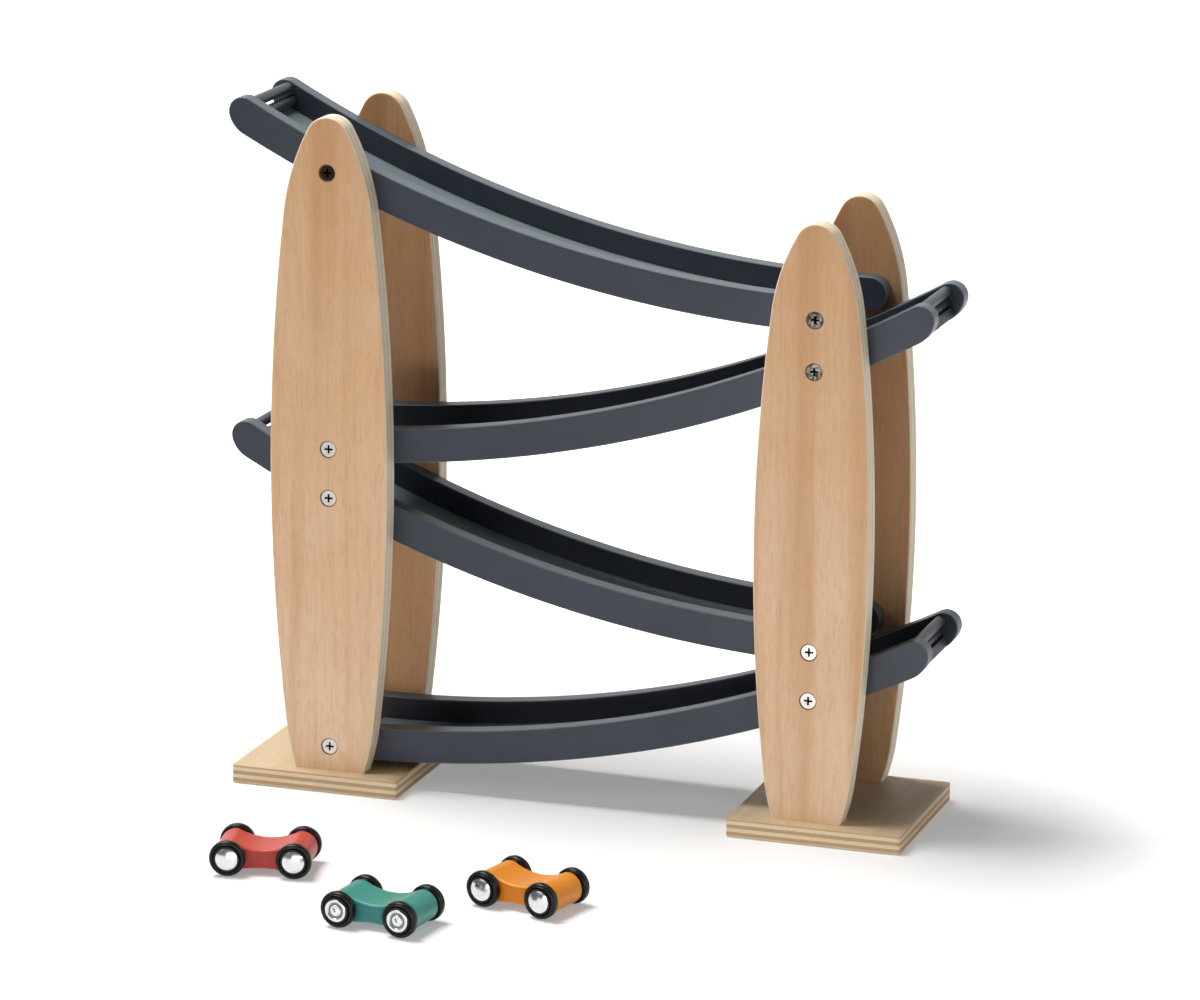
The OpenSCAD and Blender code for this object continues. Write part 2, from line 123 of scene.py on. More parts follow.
@dataclass
class Shell:
    """Closed surface with named values at its points.

    Attributes:
        points: Places of the points, in millimetres.
        faces: Four corner numbers a face.
        values: One array of numbers a named value.
    """

    points: Array
    faces: Array
    values: dict[str, Array] = field(default_factory=dict)

    def placed(self, turn: Array, shift: Array) -> Shell:
        """Copy of the surface with every point p at turn p + shift."""
        return Shell(self.points @ np.asarray(turn).T + np.asarray(shift), self.faces, self.values)

    def moved(self, shift: Array) -> Shell:
        """Copy of the surface with every point p at p + shift."""
        return Shell(self.points + np.asarray(shift), self.faces, self.values)

    @staticmethod
    def joined(shells: list[Shell]) -> Shell:
        """One surface of several, with the face numbers moved on by the points before them.

        Args:
            shells: The surfaces, all with the same named values.

        Returns:
            The joined surface.
        """
        counts = np.array([len(shell.points) for shell in shells])
        starts = np.concatenate([[0], np.cumsum(counts)[:-1]])
        names = shells[0].values
        return Shell(
            np.concatenate([shell.points for shell in shells]),
            np.concatenate([shell.faces + start for shell, start in zip(shells, starts)]),
            {name: np.concatenate([shell.values[name] for shell in shells]) for name in names},
        )

    def mesh(self, name: str) -> bpy.types.Mesh:
        """Mesh of the surface in metres, with doubled points merged and faces turned outwards.

        Args:
            name: Name of the mesh.

        Returns:
            The mesh, smooth up to the crease angle.
        """
        mesh = bpy.data.meshes.new(name)
        mesh.from_pydata((self.points * MM).tolist(), [], self.faces.tolist())
        for value, numbers in self.values.items():
            corners = numbers[self.faces.ravel()].astype(np.float32)
            mesh.attributes.new(value, "FLOAT", "CORNER").data.foreach_set("value", corners)
        work = bmesh.new()
        work.from_mesh(mesh)
        bmesh.ops.remove_doubles(work, verts=work.verts, dist=MERGE_GAP)
        bmesh.ops.dissolve_degenerate(work, edges=work.edges, dist=SLIVER)
        bmesh.ops.recalc_face_normals(work, faces=work.faces)
        work.to_mesh(mesh)
        work.free()
        soften(mesh)
        return mesh


def soften(mesh: bpy.types.Mesh) -> None:
    """Shades a mesh smooth, with edges sharper than the crease angle left crisp."""
    mesh.polygons.foreach_set("use_smooth", np.ones(len(mesh.polygons), bool))
    mesh.set_sharp_from_angle(angle=math.radians(CREASE))


def tipped(out: float) -> Array:
    """Turn that lays Z along Y, forward for an out of 1 and back for -1."""
    return np.array([[1.0, 0.0, 0.0], [0.0, 0.0, out], [0.0, -out, 0.0]])


def shown(name: str, data: Any) -> bpy.types.Object:
    """New object in the scene.

    Args:
        name: Name of the object.
        data: Its mesh, light or camera.

    Returns:
        The object.
    """
    thing = bpy.data.objects.new(name, data)
    bpy.context.scene.collection.objects.link(thing)
    return thing


def cells(rows: int, columns: int, ring: bool = False) -> Array:
    """Faces of a grid: cell (i, j) joins points (i, j), (i+1, j), (i+1, j+1) and (i, j+1).

    Args:
        rows: Points along the first parameter.
        columns: Points along the second parameter.
        ring: Whether the last row joins the first.

    Returns:
        Four point numbers a cell.
    """
    i, j = np.meshgrid(np.arange(rows if ring else rows - 1), np.arange(columns - 1), indexing="ij")
    following = (i + 1) % rows
    corners = [i * columns + j, following * columns + j, following * columns + j + 1, i * columns + j + 1]
    return np.stack(corners, axis=-1).reshape(-1, 4)


def slab(outline: Array, normals: Array, spine: Array, thickness: float, ease: float) -> Shell:
    """Flat board with eased edges, standing in X and Z and growing along Y from zero.

    The section at outline place u runs from the spine over the front face to the edge, round it and
    back: p(u, v) = outline(u) - inset(v) normal(u), y = depth(v). On an edge at angle a from the
    face, inset = ease (1 - sin a) and depth = ease (1 - cos a).

    Args:
        outline: Closed outline, one row a point.
        normals: Outward unit normals at the outline's points.
        spine: Where each section starts, inside the outline.
        thickness: Thickness of the board.
        ease: Radius of the eased edges.

    Returns:
        The board, with "edge" 0 on its faces and 1 on its sides, and "across" from -1 to 1 through it.
    """
    angle = np.linspace(0.0, math.pi / 2, EDGE_STEPS + 1)
    margin = EDGE_MARGIN * ease
    inset = np.concatenate([[margin], ease * (1 - np.sin(angle)), [0.0]])
    depth = np.concatenate([[0.0], ease * (1 - np.cos(angle)), [margin]])
    mark = EDGE_GAIN * np.concatenate([[0.0], np.sin(angle), [1.0]]) - EDGE_START
    side = np.clip(mark, 0.0, 1.0)
    inset = np.concatenate([inset, inset[::-1]])
    depth = np.concatenate([[0.0], depth, thickness - depth[::-1], [thickness]])
    side = np.concatenate([[0.0], side, side[::-1], [0.0]])
    rim = outline[:, None, :] - inset[None, :, None] * normals[:, None, :]
    middle = np.broadcast_to(spine, outline.shape)[:, None, :]
    flat = np.concatenate([middle, rim, middle], axis=1)
    rows, columns = flat.shape[:2]
    through = np.broadcast_to(depth, (rows, columns))
    points = np.stack([flat[..., 0], through, flat[..., 1]], axis=-1).reshape(-1, 3)
    values = {
        "edge": np.broadcast_to(side, (rows, columns)).ravel(),
        "across": (through / thickness * 2 - 1).ravel(),
    }
    return Shell(points, cells(rows, columns, ring=True), values)


def turned(profile: Array, steps: int) -> Shell:
    """Surface of a profile (radius, height) turned about Z: (r cos t, r sin t, h).

    Args:
        profile: Radius and height of each point, as a closed loop or from pole to pole.
        steps: Steps round the axis.

    Returns:
        The surface.
    """
    turn = np.linspace(0.0, 2 * math.pi, steps, endpoint=False)[:, None]
    radius, height = profile[None, :, 0], profile[None, :, 1]
    grid = np.stack(np.broadcast_arrays(radius * np.cos(turn), radius * np.sin(turn), height), axis=-1)
    return Shell(grid.reshape(-1, 3), cells(steps, len(profile), ring=True))


def rounded_loop(points: Array, sigma: float) -> tuple[Array, Array]:
    """Closed outline with its corners rounded: even steps along it, smoothed by a Gaussian.

    The smoothing multiplies the outline's Fourier terms by exp(-(2 pi f sigma)^2 / 2), and the
    normal is the turned derivative.

    Args:
        points: Corners of the outline, anticlockwise in X and Z.
        sigma: Spread of the smoothing, in millimetres.

    Returns:
        The outline's points and its outward unit normals.
    """
    closed = np.concatenate([points, points[:1]])
    lengths = np.concatenate([[0.0], np.cumsum(np.linalg.norm(np.diff(closed, axis=0), axis=1))])
    count = int(round(lengths[-1] / OUTLINE_STEP))
    at = np.linspace(0.0, lengths[-1], count, endpoint=False)
    loop = np.interp(at, lengths, closed[:, 0]) + 1j * np.interp(at, lengths, closed[:, 1])
    waves = np.fft.fftfreq(count, lengths[-1] / count) * 2 * math.pi
    terms = np.fft.fft(loop) * np.exp(-((waves * sigma) ** 2) / 2)
    smooth = np.fft.ifft(terms)
    ahead = np.fft.ifft(terms * 1j * waves)
    normal = -1j * ahead / np.abs(ahead)
    return np.stack([smooth.real, smooth.imag], -1), np.stack([normal.real, normal.imag], -1)


class Value:
    """Socket of a shader graph: arithmetic on it adds Math nodes."""

    def __init__(self, graph: Graph, socket: bpy.types.NodeSocket) -> None:
        """Wraps a socket of a graph."""
        self.graph = graph
        self.socket = socket

    def _math(self, operation: str, first: Number, second: Number = 0.0) -> Value:
        """Result of one Math node on two values."""
        node = self.graph.node("ShaderNodeMath", {"operation": operation}, {0: first, 1: second})
        return Value(self.graph, node.outputs[0])

    def __add__(self, other: Number) -> Value:
        """self + other."""
        return self._math("ADD", self, other)

    __radd__ = __add__

    def __mul__(self, other: Number) -> Value:
        """self * other."""
        return self._math("MULTIPLY", self, other)

    __rmul__ = __mul__

    def __sub__(self, other: Number) -> Value:
        """self - other."""
        return self._math("SUBTRACT", self, other)

    def __rsub__(self, other: Number) -> Value:
        """other - self."""
        return self._math("SUBTRACT", other, self)

    def __lt__(self, other: Number) -> Value:
        """One where the value is smaller."""
        return self._math("LESS_THAN", self, other)

    def __gt__(self, other: Number) -> Value:
        """One where the value is greater."""
        return self._math("GREATER_THAN", self, other)

    def __abs__(self) -> Value:
        """Size of the value without its sign."""
        return self._math("ABSOLUTE", self)

    def sine(self) -> Value:
        """Sine of the value."""
        return self._math("SINE", self)

    def above(self, low: float, high: float) -> Value:
        """Smooth step: 3 t^2 - 2 t^3, with t from 0 at low to 1 at high.

        Args:
            low: Where the step starts.
            high: Where it ends.

        Returns:
            The step, from 0 to 1.
        """
        node = self.graph.node(
            "ShaderNodeMapRange",
            {"interpolation_type": "SMOOTHSTEP"},
            {"Value": self, "From Min": low, "From Max": high},
        )
        return Value(self.graph, node.outputs[0])


Number = Union[Value, float]


class Graph:
    """Node graph of a material or a world, ending in one shader."""

    def __init__(self, owner: bpy.types.Material | bpy.types.World, shader: str, output: str) -> None:
        """Clears the owner's nodes and links a shader to an output.

        Args:
            owner: Material or world that the graph belongs to.
            shader: Type of the shader node.
            output: Type of the output node.
        """
        owner.use_nodes = True
        self.tree = owner.node_tree
        self.tree.nodes.clear()
        self.shader = self.node(shader)
        end = self.node(output)
        self.tree.links.new(self.shader.outputs[0], end.inputs["Surface"])

    def node(
        self, kind: str, settings: dict[str, Any] | None = None, inputs: dict[Any, Any] | None = None
    ) -> bpy.types.Node:
        """Adds a node, sets its settings and then fills its sockets.

        Args:
            kind: Type of the node.
            settings: The node's own settings, such as a Math node's operation.
            inputs: Numbers, colours or linked values by socket name or number.

        Returns:
            The node.
        """
        node = self.tree.nodes.new(kind)
        for name, setting in (settings or {}).items():
            setattr(node, name, setting)
        for name, given in (inputs or {}).items():
            if isinstance(given, Value):
                self.tree.links.new(given.socket, node.inputs[name])
            else:
                node.inputs[name].default_value = given
        return node

    def output(self, kind: str, name: str) -> Value:
        """Named output of a new node that takes no inputs."""
        return Value(self, self.node(kind).outputs[name])

    def ray(self, kind: str) -> Value:
        """One for rays of a kind, such as "Camera" or "Glossy", otherwise zero."""
        return self.output("ShaderNodeLightPath", f"Is {kind} Ray")

    def parts(self, vector: Value) -> list[Value]:
        """X, Y and Z of a vector as numbers."""
        split = self.node("ShaderNodeSeparateXYZ", None, {0: vector})
        return [Value(self, split.outputs[axis]) for axis in "XYZ"]

    def axes(self) -> list[Value]:
        """Object coordinates X, Y and Z as numbers, in metres."""
        return self.parts(self.output("ShaderNodeTexCoord", "Object"))

    def upward(self) -> Value:
        """One on faces that look up, zero on those that stand or look down."""
        return self.parts(self.output("ShaderNodeNewGeometry", "Normal"))[2].above(*LOOKS_UP)

    def value(self, name: str) -> Value:
        """Named value of the piece's surface."""
        return Value(self, self.node("ShaderNodeAttribute", {"attribute_name": name}).outputs["Fac"])

    def place(self, stretch: Triple = EVEN, seed: Value | None = None) -> Value:
        """Object coordinates, stretched and moved on by a seed so that pieces differ.

        Args:
            stretch: Factors along X, Y and Z.
            seed: Value that moves the pattern.

        Returns:
            The coordinates.
        """
        place = self.output("ShaderNodeTexCoord", "Object")
        if seed is not None:
            shift = self.node("ShaderNodeCombineXYZ", None, {"X": seed, "Y": seed, "Z": seed * 0.7})
            terms = {0: place, 1: Value(self, shift.outputs[0])}
            place = Value(self, self.node("ShaderNodeVectorMath", {"operation": "ADD"}, terms).outputs[0])
        mapping = self.node("ShaderNodeMapping", None, {"Vector": place, "Scale": stretch})
        return Value(self, mapping.outputs[0])

    def noise(
        self, at: Value, scale: float, detail: float, rough: float = 0.55, bend: float = 0.0
    ) -> Value:
        """Noise from 0 to 1 at a place.

        Args:
            at: The coordinates.
            scale: Waves a metre.
            detail: Finer layers on top of the first.
            rough: Share of each finer layer.
            bend: How far the pattern is bent.

        Returns:
            The noise.
        """
        node = self.node(
            "ShaderNodeTexNoise",
            None,
            {"Vector": at, "Scale": scale, "Detail": detail, "Roughness": rough, "Distortion": bend},
        )
        return Value(self, node.outputs["Fac"])

    def blend(self, share: Number, first: Value | Colour, second: Value | Colour) -> Value:
        """Colour between two colours.

        Args:
            share: Share of the second colour.
            first: Colour at share 0.
            second: Colour at share 1.

        Returns:
            The mixed colour.
        """
        tint = [given if isinstance(given, Value) else (*given, 1.0) for given in (first, second)]
        node = self.node("ShaderNodeMix", {"data_type": "RGBA"}, {0: share, 6: tint[0], 7: tint[1]})
        return Value(self, node.outputs[2])

    def bump(self, height: Value, depth: float, strength: float) -> Value:
        """Normal of a surface raised by height times depth, in metres."""
        node = self.node("ShaderNodeBump", None, {"Height": height, "Distance": depth, "Strength": strength})
        return Value(self, node.outputs[0])

    def fill(self, inputs: dict[str, Any]) -> None:
        """Fills the shader's sockets.

        Args:
            inputs: Linked values, numbers or colours by socket name.
        """
        for name, given in inputs.items():
            if isinstance(given, Value):
                self.tree.links.new(given.socket, self.shader.inputs[name])
            else:
                self.shader.inputs[name].default_value = (*given, 1.0) if isinstance(given, tuple) else given


class Surface(Graph):
    """Graph of one material, ending in a Principled shader."""

    def __init__(self, name: str) -> None:
        """Makes the material and its shader."""
        self.material = bpy.data.materials.new(name)
        super().__init__(self.material, "ShaderNodeBsdfPrincipled", "ShaderNodeOutputMaterial")

    def finished(self, inputs: dict[str, Any]) -> bpy.types.Material:
        """Fills the shader's sockets and returns the material."""
        self.fill(inputs)
        return self.material


@dataclass(frozen=True)
class BirchPly:
    """Lacquered birch plywood: soft mottling and faint streaks on its faces, plies on its edges, and painted
    bounce light that makes the faces paler low down.
    """

    name: str
    face: Colour
    streak: Colour
    pale: Colour
    ply_light: Colour
    ply_dark: Colour
    plies: float
    along: Triple
    # Height up to which painted bounce light makes the faces paler, in metres
    fade: float

    def build(self) -> bpy.types.Material:
        """Makes the material: grain along the board, paler low down as painted light from the floor, short
        flecks, and plies by "across".

        Returns:
            The material.
        """
        graph = Surface(self.name)
        seed = graph.value("seed")
        edge = graph.value("edge")
        across = graph.value("across")
        grain = graph.place(self.along, seed)
        broad = graph.noise(grain, 62.0, 2.0, 0.5, 0.35)
        lines = graph.noise(grain, 250.0, 5.0, 0.62, 0.1)
        fine = graph.noise(grain, 1000.0, 3.0, 0.6)
        shorter = tuple(min(1.0, 5 * part) for part in self.along)
        fleck = graph.noise(graph.place(shorter, seed), 900.0, 4.0, 0.6)
        cloud = graph.noise(graph.place(seed=seed), 26.0, 3.0)
        # Painted light: the faces turn paler towards the floor, standing in for light bounced up from it
        rise = graph.axes()[2].above(0.0, self.fade)
        tone = graph.blend(cloud.above(0.36, 0.66) * 0.25 + (1.0 - rise) * 0.65, self.face, self.pale)
        tone = graph.blend(broad.above(0.44, 0.72) * 0.62, tone, self.streak)
        tone = graph.blend(lines.above(0.47, 0.74) * 0.28, tone, self.streak)
        tone = graph.blend(fleck.above(0.46, 0.72) * 0.28, tone, self.streak)
        tone = graph.blend(fine.above(0.56, 0.80) * 0.16, tone, PORE_BROWN)
        wave = (across * (self.plies * math.pi / 2) + lines * 0.5).sine()
        layer = graph.blend(wave.above(-0.35, 0.35), self.ply_light, self.ply_dark)
        layer = graph.blend(fine.above(0.42, 0.70) * 0.18, layer, self.streak)
        colour = graph.blend(edge, tone, layer)
        # The countersinks' walls are blended to a dark brown
        colour = graph.blend(graph.value("bore") * 0.88, colour, BORE_BROWN)
        return graph.finished(
            {
                "Base Color": colour,
                "Roughness": 0.48 + lines * 0.12,
                "Normal": graph.bump(lines * 0.6 + fleck * 0.4, 0.00008, 0.5),
                "Specular IOR Level": 0.35,
            }
        )


@dataclass(frozen=True)
class SatinPaint:
    """Satin paint over wood, with the grain showing, and painted light: lighter on cut edges, a painted
    highlight on eased corners, paler on faces that look up.
    """

    name: str
    colour: Colour
    deep: Colour
    # Colour of the painted light on cut edges, eased corners and faces that look up
    painted_light: Colour
    along: Triple
    gloss: float
    grain_depth: float
    # Share of painted top light on the cut edges
    edge_painted_light: float = 0.0
    # Share of painted top light on faces that look up
    rubbed: float = 0.0

    def build(self) -> bpy.types.Material:
        """Makes the material: "edge" marks the cut edges, painted lighter as top light, and 4 e (1 - e) the
        eased corners beside them, painted with a highlight.

        Returns:
            The material.
        """
        graph = Surface(self.name)
        edge = graph.value("edge")
        grain = graph.noise(graph.place(self.along), 340.0, 4.0, 0.6)
        cloud = graph.noise(graph.place(), 40.0, 3.0)
        speck = graph.noise(graph.place(), 1500.0, 2.0)
        tone = graph.blend(cloud.above(0.35, 0.70) * 0.5, self.colour, self.deep)
        tone = graph.blend(grain.above(0.50, 0.75) * 0.30, tone, self.deep)
        # Painted light: the cut edges, which are the tops, ends and undersides of walls and car bodies, are
        # painted lighter as if lit from above
        tone = graph.blend(edge * self.edge_painted_light * (0.8 + 0.4 * grain), tone, self.painted_light)
        # Painted top light: faces that look up, such as the channel floors, are painted paler
        tone = graph.blend(graph.upward() * self.rubbed * (0.8 + 0.4 * grain), tone, self.painted_light)
        # Painted highlight along the eased corners beside the cut edges
        tone = graph.blend(4.0 * edge * (1.0 - edge) * (0.3 + 0.5 * grain), tone, self.painted_light)
        return graph.finished(
            {
                "Base Color": tone,
                "Roughness": self.gloss + grain * 0.10 + cloud * 0.05,
                "Normal": graph.bump(grain * 0.7 + speck * 0.3, self.grain_depth, 0.6),
                "Specular IOR Level": 0.30,
            }
        )


@dataclass(frozen=True)
class Metal:
    """Bare or plated metal with faint turning marks, dulled in grooves and painted dark there as shade."""

    name: str
    colour: Colour
    shade: Colour
    gloss: float
    marks: float

    def build(self) -> bpy.types.Material:
        """Makes the material: clouded colour, and a fine noise as its relief.

        Returns:
            The material.
        """
        graph = Surface(self.name)
        cloud = graph.noise(graph.place(), 700.0, 4.0, 0.6)
        smear = graph.noise(graph.place((1.0, 1.0, 6.0)), 160.0, 3.0)
        tone = graph.blend(cloud.above(0.40, 0.75) * 0.7, self.colour, self.shade)
        # Painted shade: the cap's groove and its middle are painted dark grey
        groove = graph.value("groove").above(0.10, 0.60)
        return graph.finished(
            {
                "Base Color": graph.blend(groove * 0.85, tone, GROOVE_PAINTED_SHADE),
                "Metallic": 1.0,
                "Roughness": self.gloss + smear * self.marks + groove * 0.25,
                "Normal": graph.bump(cloud, 0.00002, 0.4),
            }
        )


class Drive(Enum):
    """Which way a group of screws is driven in."""

    ACROSS = "across"
    UP = "up"


@dataclass(frozen=True)
class ScrewSteel:
    """Pale plated screws with painted shade in the cross recess; the upper ones on the near side are dark
    brown.

    Attributes:
        head_face: Distance of the heads' faces from the track's middle, or from the floor, in metres.
        middle: Y of the track's middle.
        brown_left: Height from which the left screws turn dark brown.
        brown_right: Height from which the right screws turn dark brown.
        blur: Height over which the brown sets in.
    """

    name: str
    drive: Drive
    colour: Colour
    shade: Colour
    # Colour of the painted shade in the cross recess
    recess: Colour
    brown: Colour
    head_face: float
    middle: float
    brown_left: float = 0.270
    brown_right: float = 0.150
    blur: float = 0.001

    def build(self) -> bpy.types.Material:
        """Makes the material: the depth below the heads' faces, in metres, paints shade into the recess.

        Returns:
            The material.
        """
        graph = Surface(self.name)
        x, y, z = graph.axes()
        depth = self.head_face - abs(y - self.middle) if self.drive is Drive.ACROSS else z - self.head_face
        # Painted shade: the cross recess is painted near black
        recess_shade = depth.above(0.0001, 0.0004)
        cloud = graph.noise(graph.place(), 800.0, 4.0, 0.6)
        tone = graph.blend(cloud.above(0.40, 0.75) * 0.6, self.colour, self.shade)
        left = z.above(self.brown_left, self.brown_left + self.blur) * (x < 0.0)
        right = z.above(self.brown_right, self.brown_right + self.blur) * (x > 0.0)
        # The upper screws on the near side are blended towards a dark brown
        darkened = left + right * (0.62 + 0.36 * cloud.above(0.40, 0.60))
        tone = graph.blend(darkened * (y < self.middle), tone, self.brown)
        return graph.finished(
            {
                "Base Color": graph.blend(recess_shade, tone, self.recess),
                "Metallic": 1.0,
                "Roughness": 0.34 + cloud * 0.14 + recess_shade * 0.35,
                "Normal": graph.bump(cloud, 0.00002, 0.4),
            }
        )


@dataclass(frozen=True)
class Moulding:
    """Black rubber or plastic with a fine moulded texture."""

    name: str
    colour: Colour
    dust: Colour
    gloss: float
    texture: float

    def build(self) -> bpy.types.Material:
        """Makes the material: clouded colour, and a fine noise as its relief.

        Returns:
            The material.
        """
        graph = Surface(self.name)
        texture = graph.noise(graph.place(), 2200.0, 3.0)
        cloud = graph.noise(graph.place(), 260.0, 3.0)
        return graph.finished(
            {
                "Base Color": graph.blend(cloud.above(0.45, 0.80) * 0.5, self.colour, self.dust),
                "Roughness": self.gloss + cloud * 0.14,
                "Normal": graph.bump(texture, self.texture, 0.5),
                "Specular IOR Level": 0.25,
            }
        )


Finish = Union[BirchPly, SatinPaint, Metal, ScrewSteel, Moulding]


def car_paint(name: str, colour: Colour, deep: Colour, painted_light: Colour, edge_painted_light: float) -> SatinPaint:
    """Satin paint of one car, with the grain along it."""
    grain = {"along": (0.2, 1.0, 1.0), "grain_depth": 0.00005}
    return SatinPaint(f"{name}_satin", colour, deep, painted_light, gloss=0.28, edge_painted_light=edge_painted_light, **grain)


def screw_steel(name: str, drive: Drive, head_face: float) -> ScrewSteel:
    """Plated steel of one group of screws.

    Args:
        name: Name of the finish.
        drive: Which way the screws are driven in.
        head_face: Distance of their heads' faces from the track's middle, or from the floor, in metres.

    Returns:
        The finish.
    """
    # recess is the colour of the painted shade in the cross recess
    return ScrewSteel(
        name, drive, colour=paint(214, 210, 204), shade=paint(186, 182, 176), recess=paint(14, 13, 13),
        brown=paint(50, 41, 32), head_face=head_face, middle=0.0915,
    )


PORE_BROWN = paint(150, 105, 68)
BORE_BROWN = paint(58, 44, 34)
GROOVE_PAINTED_SHADE = paint(58, 56, 54)
NEAR_PLY = BirchPly(
    "near_birch", face=paint(228, 182, 138), streak=paint(204, 146, 94), pale=paint(240, 210, 178),
    ply_light=paint(242, 232, 208), ply_dark=paint(230, 214, 186),
    plies=5.0, along=(1.0, 1.0, 0.04), fade=0.30,
)
# Painted shade: the far boards get a darker, warmer copy of the near boards' birch, standing in for the shade
# behind the near boards and ramps
FAR_PLY_PAINTED_SHADE = replace(
    NEAR_PLY, name="far_birch_painted_shade",
    face=paint(214, 162, 115), streak=paint(192, 132, 82), pale=paint(232, 190, 148),
)
BASE_PLY = BirchPly(
    "base_birch", face=paint(202, 178, 142), streak=paint(186, 152, 110), pale=paint(208, 188, 156),
    ply_light=paint(236, 220, 188), ply_dark=paint(202, 164, 122),
    plies=5.0, along=(1.0, 0.05, 1.0), fade=1.0,
)
# The ramps' cut edges and eased corners carry painted light
RAMP_PAINT = SatinPaint(
    "ramp_charcoal", colour=paint(63, 69, 81), deep=paint(55, 61, 72), painted_light=paint(106, 118, 122),
    along=(0.08, 1.0, 1.0), gloss=0.30, grain_depth=0.00006, edge_painted_light=0.45,
)
# The channel floors are painted paler where they look up, standing in for top light
TOP_LIT_FLOOR_PAINT = replace(
    RAMP_PAINT, name="rubbed_charcoal", painted_light=paint(118, 130, 134), gloss=0.34, edge_painted_light=0.0, rubbed=0.85
)
# Each car's third colour is its painted light on edges and corners, and the last number is its share on the
# cut edges
CAR_PAINTS = {
    "red": car_paint("red", paint(172, 58, 51), paint(156, 51, 45), paint(220, 86, 66), 0.35),
    "green": car_paint("green", paint(48, 119, 119), paint(43, 107, 107), paint(80, 164, 144), 0.5),
    "orange": car_paint("orange", paint(208, 121, 27), paint(194, 109, 24), paint(236, 158, 46), 0.4),
}
RAMP_SCREW_STEEL = screw_steel("ramp_screw_zinc", Drive.ACROSS, 0.03825)
BASE_SCREW_STEEL = screw_steel("base_screw_zinc", Drive.UP, 0.0005)
AXLE_STEEL = Metal("axle_steel", paint(188, 188, 186), paint(150, 150, 148), gloss=0.28, marks=0.14)
CAP_CHROME = Metal("cap_chrome", paint(222, 224, 227), paint(204, 206, 210), gloss=0.16, marks=0.06)
TYRE_RUBBER = Moulding("tyre_rubber", paint(13, 13, 15), paint(21, 21, 23), gloss=0.22, texture=0.00003)
HUB_PLASTIC = Moulding("hub_plastic", paint(16, 16, 19), paint(24, 24, 27), gloss=0.26, texture=0.00001)


class Finishes:
    """Materials, each made once when first asked for."""

    def __init__(self) -> None:
        """Starts with none made."""
        self.made: dict[str, bpy.types.Material] = {}

    def __getitem__(self, finish: Finish) -> bpy.types.Material:
        """Material of a finish.

        Args:
            finish: The finish.

        Returns:
            Its material.
        """
        if finish.name not in self.made:
            self.made[finish.name] = finish.build()
        return self.made[finish.name]


@dataclass
class Dresser:
    """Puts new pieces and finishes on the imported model."""

    nodes: dict[str, bpy.types.Object]
    finishes: Finishes = field(default_factory=Finishes)

    def cover(self, node: str, body: str, mesh: bpy.types.Mesh, finish: Finish) -> None:
        """Shows a mesh in place of a node.

        Args:
            node: Node that the mesh stands for.
            body: Body that it moves with.
            mesh: The mesh, in its place.
            finish: Its finish.
        """
        piece = shown(f"{node}_dressed", mesh)
        mesh.materials.clear()
        mesh.materials.append(self.finishes[finish])
        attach(piece, body)
        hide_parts(node)
        log.info("made %s with %d faces on %s", piece.name, len(mesh.polygons), body)

    def finish(self, node: str, finish: Finish) -> None:
        """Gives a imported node, whose shape stays, its finish.

        Args:
            node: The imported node.
            finish: Its finish.
        """
        materials = self.nodes[node].data.materials
        materials.clear()
        materials.append(self.finishes[finish])
        log.info("finished %s in %s", node, finish.name)


@dataclass
class Track:
    """Shared sizes of the stand and the curves of its ramps, in millimetres."""

    spacing: float = 220.0
    ramp_w: float = 57.5
    y: float = 91.5
    base_t: float = 8.2
    upright_t: float = 10.0
    ramp_r: float = 568.0
    wall_h: float = 15.1
    wall_t: float = 8.0
    falls: tuple[float, ...] = (47.9, 52.4, 48.6, 43.2)
    upper_reach: float = 55.2
    lower_reach: float = 7.2
    nose_top_r: float = 6.5
    nose_bottom_r: float = 13.0
    ramp_gap: float = 0.4
    base_gap: float = 3.45

    @property
    def half_w(self) -> float:
        """Half the width across a ramp."""
        return self.ramp_w / 2

    def x(self, side: Side) -> float:
        """X of the middle of the uprights on one side."""
        return side.value * self.spacing / 2

    @property
    def end_r(self) -> float:
        """Radius of a wall's round tail."""
        return self.wall_h / 2

    def tilt(self, ramp: int) -> float:
        """Angle of the line through a ramp's two screws."""
        return math.atan(self.falls[ramp] / self.spacing)

    def half_turn(self, ramp: int) -> float:
        """Half the angle that a ramp's curve turns between its two screws."""
        return math.asin(math.hypot(self.spacing, self.falls[ramp]) / 2 / self.ramp_r)

    def high_turn(self, ramp: int) -> float:
        """Angle of a ramp's upper screw from straight below its centre: tilt + half the chord's turn."""
        return self.tilt(ramp) + self.half_turn(ramp)

    def low_turn(self, ramp: int) -> float:
        """Angle of a ramp's lower screw from straight below its centre: tilt - half the chord's turn."""
        return self.tilt(ramp) - self.half_turn(ramp)

    def low_z(self, ramp: int) -> float:
        """Height of a ramp's lower screw: on the base's gap, or one drop above the ramp below.

        Args:
            ramp: The ramp, counted from 0 at the top.

        Returns:
            The height above the floor.
        """
        if ramp == len(self.falls) - 1:
            return self.base_t + self.base_gap + self.end_r
        reach = (self.lower_reach + self.end_r) * math.tan(self.high_turn(ramp + 1))
        return self.high_z(ramp + 1) + self.wall_h + self.ramp_gap + reach

    def high_z(self, ramp: int) -> float:
        """Height of a ramp's upper screw."""
        return self.low_z(ramp) + self.falls[ramp]

    def screw_z(self, ramp: int, side: Side) -> float:
        """Height of a ramp's screw on one side along the track."""
        return self.high_z(ramp) if (ramp % 2 == 0) == (side is Side.LOW) else self.low_z(ramp)

    def centre(self, ramp: int) -> tuple[float, float]:
        """Centre of a ramp's curve, before ramps 2 and 4 are mirrored.

        Args:
            ramp: The ramp, counted from 0 at the top.

        Returns:
            The centre's X and Z.
        """
        turn = self.high_turn(ramp)
        x = self.ramp_r * math.sin(turn) - self.spacing / 2
        return x, self.high_z(ramp) + self.ramp_r * math.cos(turn)


